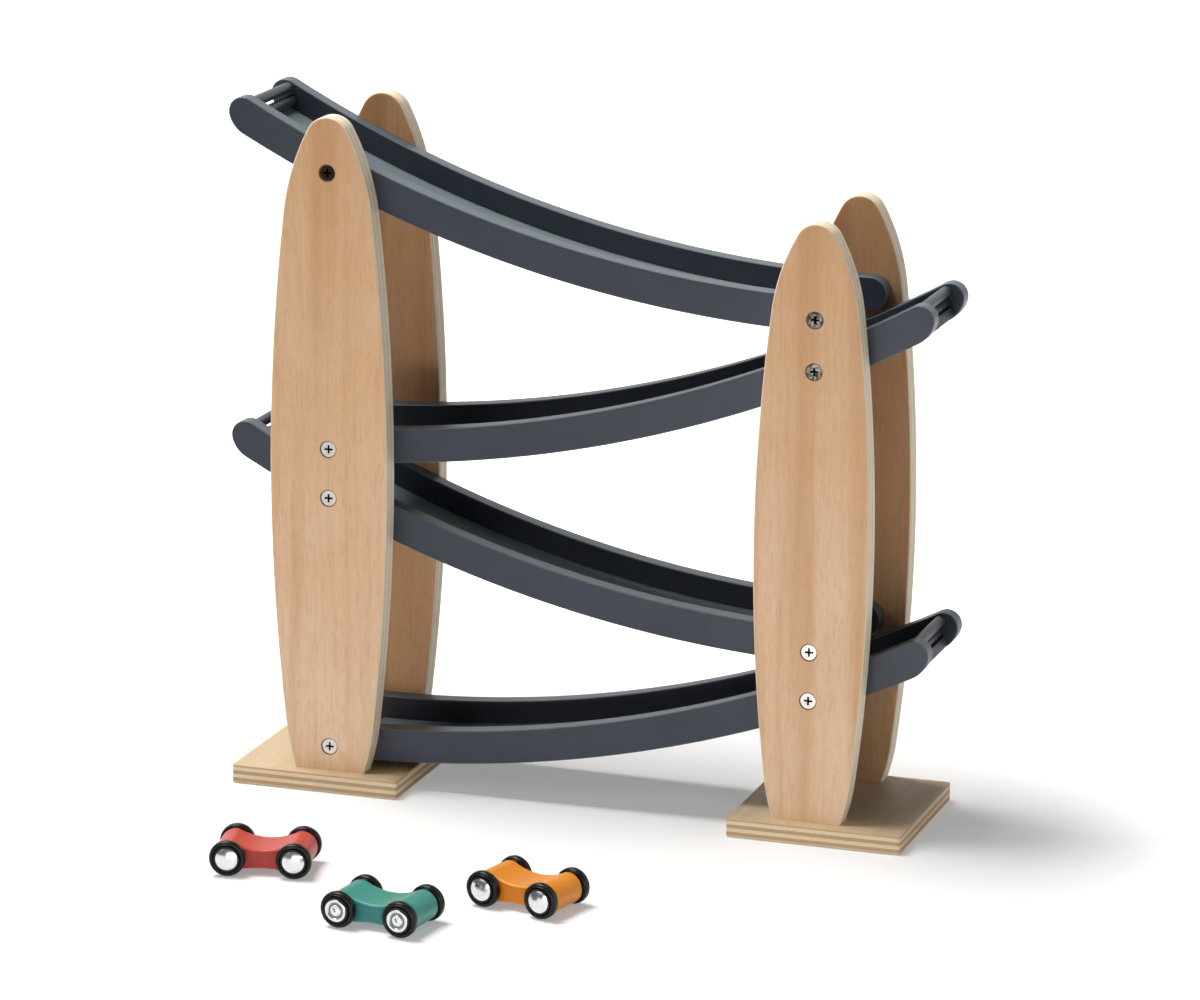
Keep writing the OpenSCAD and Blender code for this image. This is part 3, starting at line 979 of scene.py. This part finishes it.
@dataclass
class Countersink:
    """Hole for a countersunk screw, in millimetres.

    Attributes:
        head_r: Radius of the screw's head.
        shank_r: Radius of the hole for its shank.
        recess: Depth of the head below the wood's surface.
        overrun: How far the cutter stands out of the wood.
        web: Wood left at the end of the hole.
    """

    head_r: float = 3.4
    shank_r: float = 1.8
    recess: float = 0.5
    overrun: float = 1.0
    web: float = 1.0

    def cutter(self, thickness: float, seed: float) -> Shell:
        """Shape that cuts the hole: a cone down to the shank, with the wood's surface at z = 0.

        Args:
            thickness: Thickness of the board.
            seed: Seed of the board's grain, so that the cut goes on with it.

        Returns:
            The cutter, marked as a bore.
        """
        neck = -self.recess - self.head_r + self.shank_r
        end = self.web - thickness
        rim = [self.shank_r + self.overrun - neck, self.overrun]
        shank = [[self.shank_r, neck], [self.shank_r, end], [0.0, end]]
        profile = np.array([[0.0, self.overrun], rim, *shank])
        shape = turned(profile, HOLE_STEPS)
        one = np.ones(len(shape.points))
        shape.values = {"edge": one, "across": 0.0 * one, "seed": seed * one, "bore": one}
        return shape


def grained(board: Shell, seed: float) -> Shell:
    """Marks a board with the seed of its grain, and as no bore.

    Args:
        board: The board.
        seed: Seed of its grain.

    Returns:
        The same board.
    """
    count = len(board.points)
    board.values.update({"seed": np.full(count, seed), "bore": np.zeros(count)})
    return board


@dataclass
class Base:
    """Plywood base under one pair of uprights, countersunk from below for their screws."""

    track: Track
    side: Side
    length: float = 78.0
    front: float = 6.5
    back: float = 0.5
    outset: float = 5.0
    ease: float = 0.5
    corner: float = 0.9
    screw_spacing: float = 16.0
    hole: Countersink = field(default_factory=Countersink)

    @property
    def seed(self) -> float:
        """Seed of the grain."""
        return 0.37 * (2 + self.side.value)

    def build(self) -> Shell:
        """Flat slab with a rectangle for its outline, laid down so that its thickness is upright.

        Returns:
            The surface in its place.
        """
        deep = self.front + self.track.ramp_w + 2 * self.track.upright_t + self.back
        x, y = self.length / 2, deep / 2
        corners = np.array([[-x, -y], [x, -y], [x, y], [-x, y]])
        outline, normals = rounded_loop(corners, self.corner)
        outline = np.clip(outline, [-x, -y], [x, y])
        board = grained(slab(outline, normals, np.zeros(2), self.track.base_t, self.ease), self.seed)
        middle_x = self.side.value * (self.track.spacing / 2 + self.outset)
        middle_y = self.track.y - self.track.half_w - self.track.upright_t - self.front + y
        lay = np.array([[1.0, 0.0, 0.0], [0.0, 0.0, 1.0], [0.0, 1.0, 0.0]])
        return board.placed(lay, np.array([middle_x, middle_y, 0.0]))

    def countersinks(self) -> Shell:
        """Cutters for the two screws under each upright, turned to point up from below.

        Returns:
            The cutters in one surface.
        """
        cutter = self.hole.cutter(self.track.base_t, self.seed)
        cutter = cutter.placed(np.diag([1.0, -1.0, -1.0]), np.zeros(3))
        x, step = self.track.x(self.side), self.screw_spacing / 2
        y = self.track.half_w + self.track.upright_t / 2
        places = [(x + i * step, self.track.y + j * y, 0.0) for i in (-1, 1) for j in (-1, 1)]
        return Shell.joined([cutter.moved(place) for place in places])

    def dress(self, dresser: Dresser) -> None:
        """Cuts the countersinks and lays the slab in place of its node.

        Args:
            dresser: Puts the pieces on the model.
        """
        node = f"{self.side.hand}_base"
        mesh = cut(self.build().mesh(node), self.countersinks().mesh(f"{node}_cutters"))
        dresser.cover(node, "stand", mesh, BASE_PLY)


@dataclass
class Upright:
    """Board with long side arcs, tighter shoulders and a round tip, countersunk for its screws."""

    track: Track
    side: Side
    row: Side
    width: float
    head: float
    widest: float = 0.477
    shoulder_rise: float = 0.73
    shoulder_narrow: float = 0.248
    tip: float = 0.367
    ease: float = 0.8
    hole: Countersink = field(default_factory=Countersink)

    @property
    def seed(self) -> float:
        """Seed of the grain."""
        return 0.53 * (self.side.value + 2) + 0.29 * (self.row.value + 2)

    @property
    def top(self) -> float:
        """Height of the tip."""
        return self.track.screw_z(0, self.side) + self.head

    def outline(self) -> tuple[Array, Array]:
        """Outline from the foot up the right side, over the tip and down the left side.

        Three arcs that touch each other: the side arc through the widest place, a shoulder arc that
        meets it at the shoulder and the tip's circle, all as centre + radius (cos a, sin a).

        Returns:
            The outline's points and its outward unit normals.
        """
        half = self.width / 2
        widest = self.widest * self.top
        rise = self.shoulder_rise * (self.top - widest)
        narrow = self.shoulder_narrow * half
        side_r = (rise**2 + narrow**2) / (2 * narrow)
        lean = math.asin(rise / side_r)
        tip_r = self.tip * half
        tip = np.array([0.0, self.top - tip_r])
        shoulder = np.array([half - narrow, widest + rise])
        inward = -np.array([math.cos(lean), math.sin(lean)])
        apart = shoulder - tip
        shoulder_r = (tip_r**2 - apart @ apart) / (2 * (apart @ inward + tip_r))
        middle = shoulder + shoulder_r * inward
        turn = math.atan2(*(tip - middle)[::-1])
        low = 2 * widest - middle[1]
        foot = math.asin((self.track.base_t - low) / shoulder_r)
        angles = [
            np.linspace(foot, -lean, 16, endpoint=False),
            np.linspace(-lean, lean, 48, endpoint=False),
            np.linspace(lean, turn, 24, endpoint=False),
            np.linspace(turn, math.pi / 2, 20),
        ]
        centres = [(middle[0], low), (half - side_r, widest), tuple(middle), tuple(tip)]
        radii = [shoulder_r, side_r, shoulder_r, tip_r]
        spread = [np.stack([np.cos(a), np.sin(a)], -1) for a in angles]
        right = np.concatenate([np.array(c) + r * s for c, r, s in zip(centres, radii, spread)])
        normal = np.concatenate(spread)
        normal[0] = (1.0, 0.0)
        flip = np.array([-1.0, 1.0])
        return np.concatenate([right, right[-2::-1] * flip]), np.concatenate([normal, normal[-2::-1] * flip])

    def countersinks(self) -> Shell:
        """Cutters for the screws, pointing into the board's outer face.

        Returns:
            The cutters in one surface.
        """
        cutter = self.hole.cutter(self.track.upright_t, self.seed)
        out = float(self.row.value)
        face = self.track.y + out * (self.track.half_w + self.track.upright_t)
        x = self.track.x(self.side)
        heights = [self.track.screw_z(ramp, self.side) for ramp in range(len(self.track.falls))]
        return Shell.joined([cutter.placed(tipped(out), np.array([x, face, z])) for z in heights])

    def build(self) -> Shell:
        """The board before its screw holes are cut.

        Returns:
            The surface in its place.
        """
        outline, normals = self.outline()
        spine = np.array([0.0, self.widest * self.top])
        board = grained(slab(outline, normals, spine, self.track.upright_t, self.ease), self.seed)
        half_w = self.track.half_w
        near = half_w if self.row is Side.HIGH else -half_w - self.track.upright_t
        return board.moved(np.array([self.track.x(self.side), self.track.y + near, 0.0]))

    def dress(self, dresser: Dresser) -> None:
        """Cuts the countersinks and stands the board in place of its node.

        Args:
            dresser: Puts the pieces on the model.
        """
        # The far boards take the copy of the birch with painted shade
        finish = NEAR_PLY if self.row is Side.LOW else FAR_PLY_PAINTED_SHADE
        node = f"{self.row.rank}_{self.side.hand}_upright"
        mesh = cut(self.build().mesh(node), self.countersinks().mesh(f"{node}_cutters"))
        dresser.cover(node, "stand", mesh, finish)


def cut(solid: bpy.types.Mesh, cutters: bpy.types.Mesh) -> bpy.types.Mesh:
    """Solid with the cutters taken out of it.

    Args:
        solid: The mesh that is cut.
        cutters: Closed shapes that are removed.

    Returns:
        The cut mesh.
    """
    block = shown("block", solid)
    knife = shown("knife", cutters)
    boolean = block.modifiers.new("holes", "BOOLEAN")
    boolean.operation = "DIFFERENCE"
    boolean.solver = "EXACT"
    boolean.object = knife
    bpy.context.view_layer.update()
    result = bpy.data.meshes.new_from_object(block.evaluated_get(bpy.context.evaluated_depsgraph_get()))
    result.name = solid.name
    bpy.data.objects.remove(block)
    bpy.data.objects.remove(knife)
    soften(result)
    return result


@dataclass
class Ramp:
    """Curved ramp: two walls with a nose, a round tail and eased edges, a floor and two dowels."""

    track: Track
    number: int
    ease: float = 0.55
    skin: float = 0.04

    def outline(self) -> tuple[Array, Array, Array]:
        """Outline of a wall about its curve's centre, with its middle line as the spine.

        The lower and upper edges are ramp_r +- wall_h / 2 along (-sin t, -cos t). The nose is two
        arcs that touch each other and the edges: their centres lie drop apart across the wall and
        shift apart along it, with drop^2 + shift^2 = (bottom radius - top radius)^2. The tail is a
        half circle about the middle line's end.

        Returns:
            The outline's points, its outward unit normals and the spine.
        """
        track, ramp, reach = self.track, self.number - 1, self.track.ramp_r
        upper_r, lower_r = track.nose_top_r, track.nose_bottom_r
        drop = upper_r + lower_r - track.wall_h
        shift = math.sqrt((lower_r - upper_r) ** 2 - drop**2)
        meet = math.atan2(shift, drop)
        turn = track.high_turn(ramp) + (track.upper_reach - upper_r) / reach
        start = turn - shift / reach
        low = track.low_turn(ramp) - track.lower_reach / reach

        def ray(angle: Array | float) -> Array:
            """Direction out of the curve's centre at an angle from straight down."""
            return np.stack([-np.sin(angle), -np.cos(angle)], -1)

        def arc(angles: Array, at: float) -> Array:
            """Directions that swing from out of the curve towards the tip."""
            return np.cos(angles)[:, None] * ray(at) + np.sin(angles)[:, None] * ray(at + math.pi / 2)

        edge = np.linspace(low, start, 97)
        under = arc(np.linspace(0.0, meet, 12)[1:], turn)
        over = arc(np.linspace(meet, math.pi, 26)[1:], turn)
        back = np.linspace(turn, start, 6)[1:-1]
        tail = arc(np.linspace(-math.pi, 0.0, 25)[1:-1], low)
        nose_low = (reach + track.end_r - lower_r) * ray(start)
        nose_high = (reach - track.end_r + upper_r) * ray(turn)
        line = reach * ray(edge)
        share = np.linspace(0.0, 1.0, len(under))[:, None]
        normals = np.concatenate([ray(edge), under, over, -ray(back), -ray(edge[::-1]), tail])
        points = np.concatenate(
            [
                (reach + track.end_r) * ray(edge),
                nose_low + lower_r * under,
                nose_high + upper_r * over,
                (reach - track.end_r) * ray(np.concatenate([back, edge[::-1]])),
                line[0] + track.end_r * tail,
            ]
        )
        spine = np.concatenate(
            [
                line,
                (1 - share) * line[-1] + share * nose_high,
                np.broadcast_to(nose_high, over.shape),
                nose_high + np.linspace(0.2, 0.8, len(back))[:, None] * (line[-1] - nose_high),
                line[::-1],
                np.broadcast_to(line[0], tail.shape),
            ]
        )
        return points - self.skin * normals, normals, spine

    def wall(self, row: Side) -> Shell:
        """One wall in its place, mirrored on ramps 2 and 4.

        Args:
            row: Side of the track that the wall is on.

        Returns:
            The wall.
        """
        outline, normals, spine = self.outline()
        board = slab(outline, normals, spine, self.track.wall_t, self.ease)
        centre_x, centre_z = self.track.centre(self.number - 1)
        half_w = self.track.half_w
        near = half_w - self.track.wall_t if row is Side.HIGH else -half_w
        flip = np.diag([-1.0 if self.number % 2 == 0 else 1.0, 1.0, 1.0])
        place = np.array([centre_x, self.track.y + near, centre_z])
        return board.moved(place).placed(flip, np.zeros(3))

    def dress(self, dresser: Dresser) -> None:
        """Stands the walls in place of their nodes and paints the floor and the dowels.

        Args:
            dresser: Puts the pieces on the model.
        """
        for row in Side:
            node = f"ramp_{self.number}_{row.rank}_wall"
            dresser.cover(node, "stand", self.wall(row).mesh(node), RAMP_PAINT)
        paints = {"floor": TOP_LIT_FLOOR_PAINT, "tip_dowel": RAMP_PAINT, "stop_dowel": RAMP_PAINT}
        for name, finish in paints.items():
            dresser.finish(f"ramp_{self.number}_{name}", finish)


@dataclass
class Wheel:
    """Sizes of a wheel and the profiles of its tyre and cap, in millimetres from the car's middle.

    Attributes:
        power: Exponent of the tyre's squarish section.
        fit: Gap between the tyre and its hub.
        slack: How far the section keeps inside the tyre's thickness.
        ring_drop: Depth of the step on the tyre's sides.
        ring_at: Distance of the step from the hub.
        ring_slope: Width of the step's slope.
        ring_side: Share of the half width from which a point counts as the tyre's side.
        lift: How far the cap keeps clear of its seat and the hub's face.
        rim_slope: Slope of a domed cap's rim.
        groove_at: Middle of the dished cap's groove, as a share of its radius.
        groove_half: Half the groove's width, as such a share.
        dimple: Size of the middle that is painted dark as shade, as such a share.
    """

    tyre_r: float = 7.7
    tyre_t: float = 2.1
    tyre_w: float = 4.0
    hub_in: float = 10.0
    hub_w: float = 4.2
    rim: float = 0.9
    seat: float = 0.9
    cap_h: float = 1.0
    power: float = 2.6
    fit: float = 0.01
    slack: float = 0.012
    ring_drop: float = 0.16
    ring_at: float = 0.75
    ring_slope: float = 0.1
    ring_side: float = 0.6
    lift: float = 0.02
    rim_slope: float = 6.0
    groove_at: float = 0.61
    groove_half: float = 0.13
    dimple: float = 0.16

    @property
    def hub_r(self) -> float:
        """Radius of the hub."""
        return self.tyre_r - self.tyre_t

    @property
    def hub_out(self) -> float:
        """Distance of the hub's outer face from the car's middle."""
        return self.hub_in + self.hub_w

    def tyre(self) -> Shell:
        """Tyre: a squarish oval section, |x|^power + |y|^power = 1, with a stepped ring on each side.

        Returns:
            The turned tyre.
        """
        around = np.linspace(0.0, 2 * math.pi, WHEEL_STEPS + 1)
        cos, sin = np.cos(around), np.sin(around)
        crown = np.sign(cos) * np.abs(cos) ** (2 / self.power)
        side = np.sign(sin) * np.abs(sin) ** (2 / self.power)
        middle = self.hub_r + self.fit + self.tyre_t / 2
        radius = middle + crown * (self.tyre_t / 2 - self.slack)
        outer = np.clip((radius - self.hub_r - self.ring_at) / self.ring_slope, 0.0, 1.0)
        step = np.sign(side) * (self.ring_drop * outer) * (np.abs(side) > self.ring_side)
        height = self.hub_in + self.hub_w / 2 + self.tyre_w / 2 * side - step
        return turned(np.stack([radius, height], -1), WHEEL_STEPS)

    def cap(self, shape: CapShape) -> Shell:
        """Cap in its seat: a smooth dome, or a dish with a stepped ring and a small middle dome.

        The dome is h = cap_h (1 - (r / cap_r)^2) with its rim rounded, and the dish follows its
        steps with each slope eased by a cosine.

        Args:
            shape: Form of the cap.

        Returns:
            The turned cap.
        """
        cap_r = self.hub_r - self.rim
        share = np.linspace(1.0, 0.0, 49)
        if shape is CapShape.DOMED:
            rim = self.rim_slope * cap_r * (1 - share)
            top = np.minimum(self.cap_h * (1 - share**2), rim) + self.lift
        else:
            places = np.array([0.0, 0.30, 0.46, 0.52, 0.70, 0.80, 0.96, 1.0])
            heights = np.array([1.0, 0.55, 0.50, 0.14, 0.14, 0.62, 0.62, 0.5])
            section = np.clip(np.searchsorted(places, share, side="right") - 1, 0, len(places) - 2)
            part = (share - places[section]) / (places[section + 1] - places[section])
            eased = (1 - np.cos(np.pi * part)) / 2
            eased = np.where(section == 0, 1 - np.cos(np.pi / 2 * part), eased)
            top = self.cap_h * (heights[section] + (heights[section + 1] - heights[section]) * eased)
        back = self.hub_out - self.seat + self.lift
        profile = np.concatenate(
            [[[0.0, back], [cap_r, back]], np.stack([share * cap_r, self.hub_out + top], -1)]
        )
        shell = turned(profile, WHEEL_STEPS)
        if shape is CapShape.DISHED:
            share = np.hypot(shell.points[:, 0], shell.points[:, 1]) / cap_r
            groove = np.clip(1.0 - np.abs(share - self.groove_at) / self.groove_half, 0.0, 1.0)
            middle = np.clip(1.0 - share / self.dimple, 0.0, 1.0)
            # Marks the groove and the middle, which are painted dark as shade
            shell.values["groove"] = np.maximum(groove, middle)
        return shell


@dataclass
class Car:
    """Small wooden car: a bone-shaped painted body on two axles with capped black wheels."""

    name: str
    x: float
    y: float
    turn: float
    caps: CapShape
    wheelbase: float = 28.5
    body_w: float = 19.2
    clearance: float = 1.1
    top_dip: float = 3.3
    arch: float = 1.7
    ridge: float = 0.265
    ease: float = 1.0
    corner: float = 0.42
    spine: float = -0.8
    wheel: Wheel = field(default_factory=Wheel)

    def place(self, shell: Shell, along: float = 0.0, up: float = 0.0) -> Shell:
        """Surface carried from the car's own axes to where the car stands.

        Args:
            shell: Surface in the car's axes: X to its front, Z up.
            along: Distance forward from the car's middle.
            up: Height above the floor.

        Returns:
            The placed surface.
        """
        cos, sin = math.cos(math.radians(self.turn)), math.sin(math.radians(self.turn))
        spin = np.array([[cos, -sin, 0.0], [sin, cos, 0.0], [0.0, 0.0, 1.0]])
        return shell.moved(np.array([along, 0.0, up])).placed(spin, np.array([self.x, self.y, 0.0]))

    def outline(self) -> tuple[Array, Array]:
        """Side outline about the axles' height: round ends joined by hollow arcs, corners softened.

        A hollow of depth d between the ridges at +-ridge_x has the radius
        (ridge_x^2 + sag^2) / (2 sag) with sag = d - end_r + ridge_h.

        Returns:
            The outline's points and its outward unit normals.
        """
        end_r = self.wheel.tyre_r - self.clearance
        ridge_x = self.wheelbase / 2 - self.ridge * end_r
        ridge_h = end_r * math.sqrt(1 - self.ridge**2)
        across = np.linspace(-ridge_x, ridge_x, 61)

        def hollow(depth: float) -> Array:
            """Heights of a hollow arc between the ridges.

            Args:
                depth: Depth of the hollow below the car's ends.

            Returns:
                One height a place.
            """
            sag = depth - end_r + ridge_h
            radius = (ridge_x**2 + sag**2) / (2 * sag)
            return end_r - depth + radius - np.sqrt(radius**2 - across**2)

        start = math.pi - math.acos(self.ridge)
        swing = np.linspace(-start, start, 61)[1:-1]
        front = np.stack([self.wheelbase / 2 + end_r * np.cos(swing), end_r * np.sin(swing)], -1)
        bottom = np.stack([across, -hollow(self.arch)], -1)
        top = np.stack([across[::-1], hollow(self.top_dip)[::-1]], -1)
        corners = np.concatenate([bottom, front, top, -front])
        return rounded_loop(corners, self.corner)

    def body(self) -> Shell:
        """The painted body, its thickness across the car.

        Returns:
            The surface in its place.
        """
        outline, normals = self.outline()
        board = slab(outline, normals, np.array([0.0, self.spine]), self.body_w, self.ease)
        board = board.moved(np.array([0.0, -self.body_w / 2, 0.0]))
        return self.place(board, up=self.wheel.tyre_r)

    def both(self, shell: Shell, along: float) -> Shell:
        """A wheel's surface, turned about Z, set on both ends of an axle.

        Args:
            shell: The surface.
            along: Distance of the axle forward from the car's middle.

        Returns:
            The two surfaces as one, in their place.
        """
        pair = Shell.joined([shell.placed(tipped(out), np.zeros(3)) for out in (-1.0, 1.0)])
        return self.place(pair, along=along, up=self.wheel.tyre_r)

    def dress(self, dresser: Dresser) -> None:
        """Stands the body, tyres and caps in place of their nodes and finishes the rest.

        Args:
            dresser: Puts the pieces on the model.
        """
        car = f"{self.name}_car"
        body = self.body().mesh(f"{car}_body")
        dresser.cover(f"{car}_body", car, body, CAR_PAINTS[self.name])
        turned_parts = {
            "tyres": (self.wheel.tyre(), TYRE_RUBBER, "tyre_rubber"),
            "caps": (self.wheel.cap(self.caps), CAP_CHROME, "cap_chrome"),
        }
        for end, along in (("front", self.wheelbase / 2), ("rear", -self.wheelbase / 2)):
            wheels = f"{car}_{end}"
            for part, (shell, finish, slot) in turned_parts.items():
                node = f"{wheels}_{part}"
                dresser.cover(node, f"{wheels}_wheels", self.both(shell, along).mesh(node), finish)
            dresser.finish(f"{wheels}_hubs", HUB_PLASTIC)
            dresser.finish(f"{wheels}_axle", AXLE_STEEL)


@dataclass(frozen=True)
class Lamp:
    """Soft oblong lamp, in metres.

    Attributes:
        name: Name of the lamp.
        eye: Where it hangs.
        aim: Where it points.
        size: Width and height of its face.
        watts: Its power.
        tint: Colour of its light.
    """

    name: str
    eye: Triple
    aim: Triple
    size: tuple[float, float]
    watts: float
    tint: Colour = (1.0, 0.99, 0.98)

    def hang(self) -> None:
        """Hangs the lamp where the camera doesn't see it, turned to its aim."""
        light = bpy.data.lights.new(self.name, "AREA")
        light.shape = "RECTANGLE"
        light.size, light.size_y = self.size
        light.energy = self.watts
        light.color = self.tint
        lamp = shown(self.name, light)
        lamp.visible_camera = False
        way = Vector(self.aim) - Vector(self.eye)
        lamp.matrix_world = Matrix.LocRotScale(Vector(self.eye), way.to_track_quat("-Z", "Y"), None)


# Soft key from the upper left, a front lamp at the left, one low at the right and a small low fill in front
LAMPS = (
    Lamp("key", (-0.8, 0.06, 2.1), (0.0, 0.05, 0.10), (1.1, 1.1), 62.0, (1.0, 0.98, 0.96)),
    Lamp("front", (-0.9, -1.3, 1.0), (0.0, 0.05, 0.12), (0.8, 0.8), 4.6),
    Lamp("side", (1.2, 0.0, 0.25), (0.0, 0.05, 0.12), (0.8, 0.6), 3.0),
    Lamp("fill", (0.08, -0.42, 0.04), (0.0, 0.06, 0.06), (0.3, 0.08), 0.5),
)


@dataclass
class Studio:
    """White ground, soft lamps and the camera, in metres.

    Attributes:
        focal: Focal length of the lens, in millimetres.
        sensor: Width of the sensor, in millimetres.
        eye: Place of the camera.
        right: The camera's own X.
        up: The camera's own Y.
        back: The camera's own Z.
        ground: Colour of the ground.
        ground_half: Half the ground's width.
        ground_rows: Points along each side of the ground.
        ground_z: Height of the ground, just under the toy.
        glow: How much the ground by the toy glows.
        sky: Strength of the world as light.
        mirrored: Strength of the world in front as it is mirrored.
        pool: Distance from the middle at which the ground starts to turn white.
        mirror_y: Between which Y the mirrored ground turns white.
        mirror_way: Between which Y of its direction the mirrored world turns white.
    """

    focal: float = 159.85
    sensor: float = 36.0
    eye: Triple = (0.71657, -2.05554, 0.70751)
    right: Triple = (0.9482, 0.3176, 0.0085)
    up: Triple = (-0.0860, 0.2309, 0.9692)
    back: Triple = (0.3059, -0.9197, 0.2462)
    ground: Colour = (0.70, 0.70, 0.70)
    ground_half: float = 4.0
    ground_rows: int = 9
    ground_z: float = -0.0003
    glow: float = 0.27
    sky: float = 0.04
    mirrored: float = 0.15
    pool: float = 0.19
    mirror_y: tuple[float, float] = (0.2, 0.8)
    mirror_way: tuple[float, float] = (-0.2, 0.5)

    def camera(self) -> None:
        """Camera with its axes as the columns of its matrix."""
        lens = bpy.data.cameras.new("portrait")
        lens.lens = self.focal
        lens.sensor_width = self.sensor
        lens.sensor_fit = "HORIZONTAL"
        camera = shown("portrait", lens)
        turn = Matrix((self.right, self.up, self.back)).transposed()
        camera.matrix_world = Matrix.LocRotScale(Vector(self.eye), turn.to_quaternion(), None)
        bpy.context.scene.camera = camera

    def floor(self) -> None:
        """Flat white ground that keeps shadows and glows a little to the camera and in reflections."""
        reach = np.linspace(-self.ground_half, self.ground_half, self.ground_rows)
        x, y = np.meshgrid(reach, reach, indexing="ij")
        mesh = bpy.data.meshes.new("ground")
        points = np.stack([x, y, np.full_like(x, self.ground_z)], -1).reshape(-1, 3)
        mesh.from_pydata(points.tolist(), [], cells(self.ground_rows, self.ground_rows).tolist())
        graph = Surface("ground_white")
        tone = graph.noise(graph.place(), 3.0, 2.0)
        x, y, _ = graph.axes()
        away = (x * x + y * y).above(self.pool**2, (2.0 * self.pool) ** 2)
        behind = y.above(*self.mirror_y)
        seen, mirrored = (self.glow + part * (1.0 - self.glow) for part in (away, behind))
        lit = graph.ray("Camera") * seen + graph.ray("Glossy") * mirrored
        mesh.materials.append(
            graph.finished(
                {
                    "Base Color": graph.blend(tone, self.ground, tuple(c * 1.01 for c in self.ground)),
                    "Roughness": 0.9,
                    "Specular IOR Level": 0.0,
                    "Emission Color": graph.blend(lit, BLACK, WHITE),
                    "Emission Strength": 1.0,
                }
            )
        )
        ground = shown("ground", mesh)

    def world(self) -> None:
        """World that is white to the camera, mirrored as white behind and grey in front, and dim as light."""
        world = bpy.data.worlds.new("studio")
        graph = Graph(world, "ShaderNodeBackground", "ShaderNodeOutputWorld")
        way = graph.parts(graph.output("ShaderNodeTexCoord", "Generated"))
        mirrored = self.mirrored + way[1].above(*self.mirror_way) * (1.0 - self.mirrored)
        seen = graph.ray("Camera") * (1.0 - self.sky)
        strength = self.sky + seen + graph.ray("Glossy") * (mirrored - self.sky)
        graph.fill({"Color": WHITE, "Strength": strength})
        bpy.context.scene.world = world

    def build(self) -> None:
        """Sets the whole studio."""
        self.camera()
        for lamp in LAMPS:
            lamp.hang()
        self.floor()
        self.world()
        bpy.context.scene.view_settings.view_transform = "Standard"


# Width of each side's uprights and height of their tips above their highest screw, in millimetres
UPRIGHT_SIZES = {Side.LOW: (54.6, 24.4), Side.HIGH: (51.2, 41.2)}


def main() -> None:
    """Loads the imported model, dresses every piece and sets the studio."""
    logging.basicConfig(level=logging.INFO, format="%(message)s")
    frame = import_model()
    dresser = Dresser(frame["nodes"])
    track = Track()
    Studio().build()
    for side, (width, head) in UPRIGHT_SIZES.items():
        Base(track, side).dress(dresser)
        for row in Side:
            Upright(track, side, row, width, head).dress(dresser)
    for number in range(1, len(track.falls) + 1):
        Ramp(track, number).dress(dresser)
    dresser.finish("ramp_screws", RAMP_SCREW_STEEL)
    dresser.finish("base_screws", BASE_SCREW_STEEL)
    cars = (
        Car("red", x=-93.9, y=-62.3, turn=11.4, caps=CapShape.DOMED),
        Car("green", x=-21.6, y=-113.4, turn=-7.3, caps=CapShape.DISHED),
        Car("orange", x=26.3, y=-70.0, turn=-14.0, caps=CapShape.DOMED),
    )
    for car in cars:
        car.dress(dresser)


if __name__ == "__main__":
    main()
